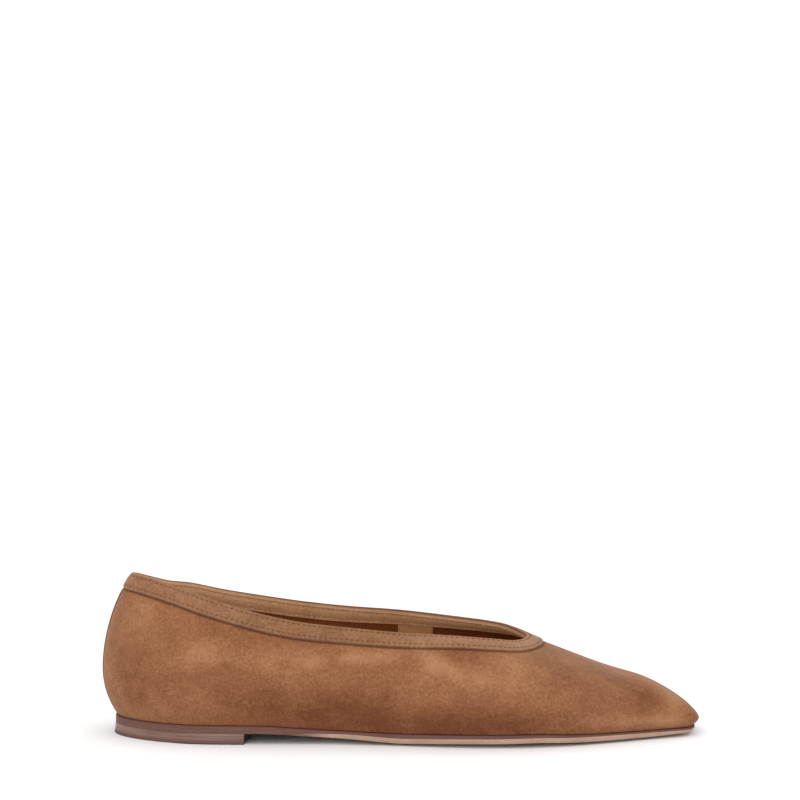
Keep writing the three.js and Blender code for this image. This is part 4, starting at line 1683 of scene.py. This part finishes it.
@dataclass
class Studio:
    """Floor, lights and camera."""

    camera_distance: float = 0.740
    camera_height: float = 0.142
    camera_along: float = -0.0001
    focal_px: float = 1725.0
    frame_px: float = 800.0
    floor_reach: float = 14.0
    surround_strength: float = 1.12

    def camera(self) -> None:
        """Makes the level camera that fits the photograph."""
        data = bpy.data.cameras.new("camera")
        data.sensor_width = 36.0
        data.lens = data.sensor_width * self.focal_px / self.frame_px
        data.clip_start = 0.05
        piece = put("camera", data)
        piece.location = (self.camera_along, -self.camera_distance, self.camera_height)
        piece.rotation_euler = (math.pi / 2, 0, 0)
        bpy.context.scene.camera = piece

    def floor(self) -> None:
        """Makes a plain pale floor."""
        g = Graph("studio_floor")
        material = g.finish({"Base Color": (0.9, 0.905, 0.91, 1), "Roughness": 0.9, "Specular IOR Level": 0.1})
        mesh = bpy.data.meshes.new("studio_floor")
        reach = self.floor_reach
        corners = [(-reach, -reach, 0), (reach, -reach, 0), (reach, reach, 0), (-reach, reach, 0)]
        mesh.from_pydata(corners, [], [(0, 1, 2, 3)])
        mesh.materials.append(material)
        put("studio_floor", mesh)

    def light(self, name: str, place: tuple[float, float, float], size: float, watts: float) -> None:
        """Makes one soft lamp that looks at the shoe.

        Args:
            name: The lamp's name.
            place: Where it stands.
            size: Side of its square face.
            watts: Its power.
        """
        data = bpy.data.lights.new(name, "AREA")
        data.energy = watts
        data.size = size
        piece = put(name, data)
        piece.location = place
        piece.rotation_euler = (Vector((0, 0, 0.03)) - Vector(place)).to_track_quat("-Z", "Y").to_euler()

    def lights(self) -> None:
        """Makes a white surround and the soft lamps."""
        world = bpy.data.worlds.new("surround")
        world.use_nodes = True
        world.node_tree.nodes["Background"].inputs["Color"].default_value = (1, 1, 1, 1)
        world.node_tree.nodes["Background"].inputs["Strength"].default_value = self.surround_strength
        bpy.context.scene.world = world
        self.light("top_lamp", (0.1, -0.25, 1.3), 1.1, 2.6)
        self.light("front_lamp", (-0.35, -1.3, 0.5), 0.8, 5.0)
        bpy.context.scene.view_settings.view_transform = "Standard"


def measure_origin(last: ShoeLast) -> Vector:
    """Finds the last's own zero in the row's frame.

    Args:
        last: The last.

    Returns:
        Its place in metres.
    """
    low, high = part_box("outsole")
    _, lateral, medial, _ = last.outline(np.linspace(0, 1, 2001), 0.0)
    across = ((low[1] + lateral.max() * MM) + (high[1] - medial.max() * MM)) / 2
    return Vector((low[0], across, 0.0))


def main() -> None:
    """Builds the dressed shoe, piece by piece."""
    logging.basicConfig(level=logging.INFO, format="%(name)s: %(message)s")
    studio = Studio()
    studio.camera()
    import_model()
    last = ShoeLast(Sizes())
    origin = measure_origin(last)

    suede = SuedeFinish("suede").make()
    strip = SuedeFinish("binding_suede", "69462F", "885F43", "A27A60").make()
    lining = SmoothLeatherFinish("lining_leather", "6A3412", "87491F").make()
    sock = SmoothLeatherFinish("sock_leather", "8A5A38", "A87450").make()
    tab = SmoothLeatherFinish("tab_leather", "B98555", "CE9C6C").make()
    # Inner leg of the binding: the same suede painted lighter, as painted light where the leg faces into the dark
    # shoe.
    painted_light_facing = SuedeFinish("binding_facing", "A97A56", "C99970", "D8AC84", "6A4530").make()
    thread = ThreadFinish("thread").make()
    inner_thread = ThreadFinish("inner_thread", "A98560", "DCC09C").make()
    sole = SoleFinish("sole_leather").make()
    stacked = StackedLeatherFinish("stacked_leather").make()
    # The heel's front face is painted near black as painted shade, for the face turned away from the lamps.
    painted_breast_shade = StackedLeatherFinish("heel_breast", "33231E", "1E1411").make()
    rubber = RubberFinish("heel_rubber").make()

    s = last.sizes
    bottom = Bottom(last, origin)
    topline = Topline(last, origin)
    seam_height = s.top_piece + s.clearance / 2
    soft, block_top, piece_top = bottom.heel_edge, s.heel_stack - bottom.layer_gap, seam_height - bottom.layer_gap
    block = bottom.heel_layer("heel_block_leather", seam_height, block_top, soft, stacked, painted_breast_shade)
    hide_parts("heel_block")
    top_piece = bottom.heel_layer("heel_top_piece_rubber", 0.0, piece_top, soft, rubber, painted_breast_shade)
    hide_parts("heel_top_piece")
    made = [
        Upper(last, origin, rim=topline.edge).build(suede, lining),
        *topline.build(strip, painted_light_facing, {Side.LATERAL: thread, Side.MEDIAL: inner_thread}),
        bottom.outsole(sole),
        bottom.insole(sock),
        block,
        top_piece,
        LiningTab(last, origin).build(tab),
    ]
    for piece in made:
        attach(piece, "root")
        log.info("%s is in place", piece.name)
    studio.floor()
    studio.lights()


if __name__ == "__main__":
    main()
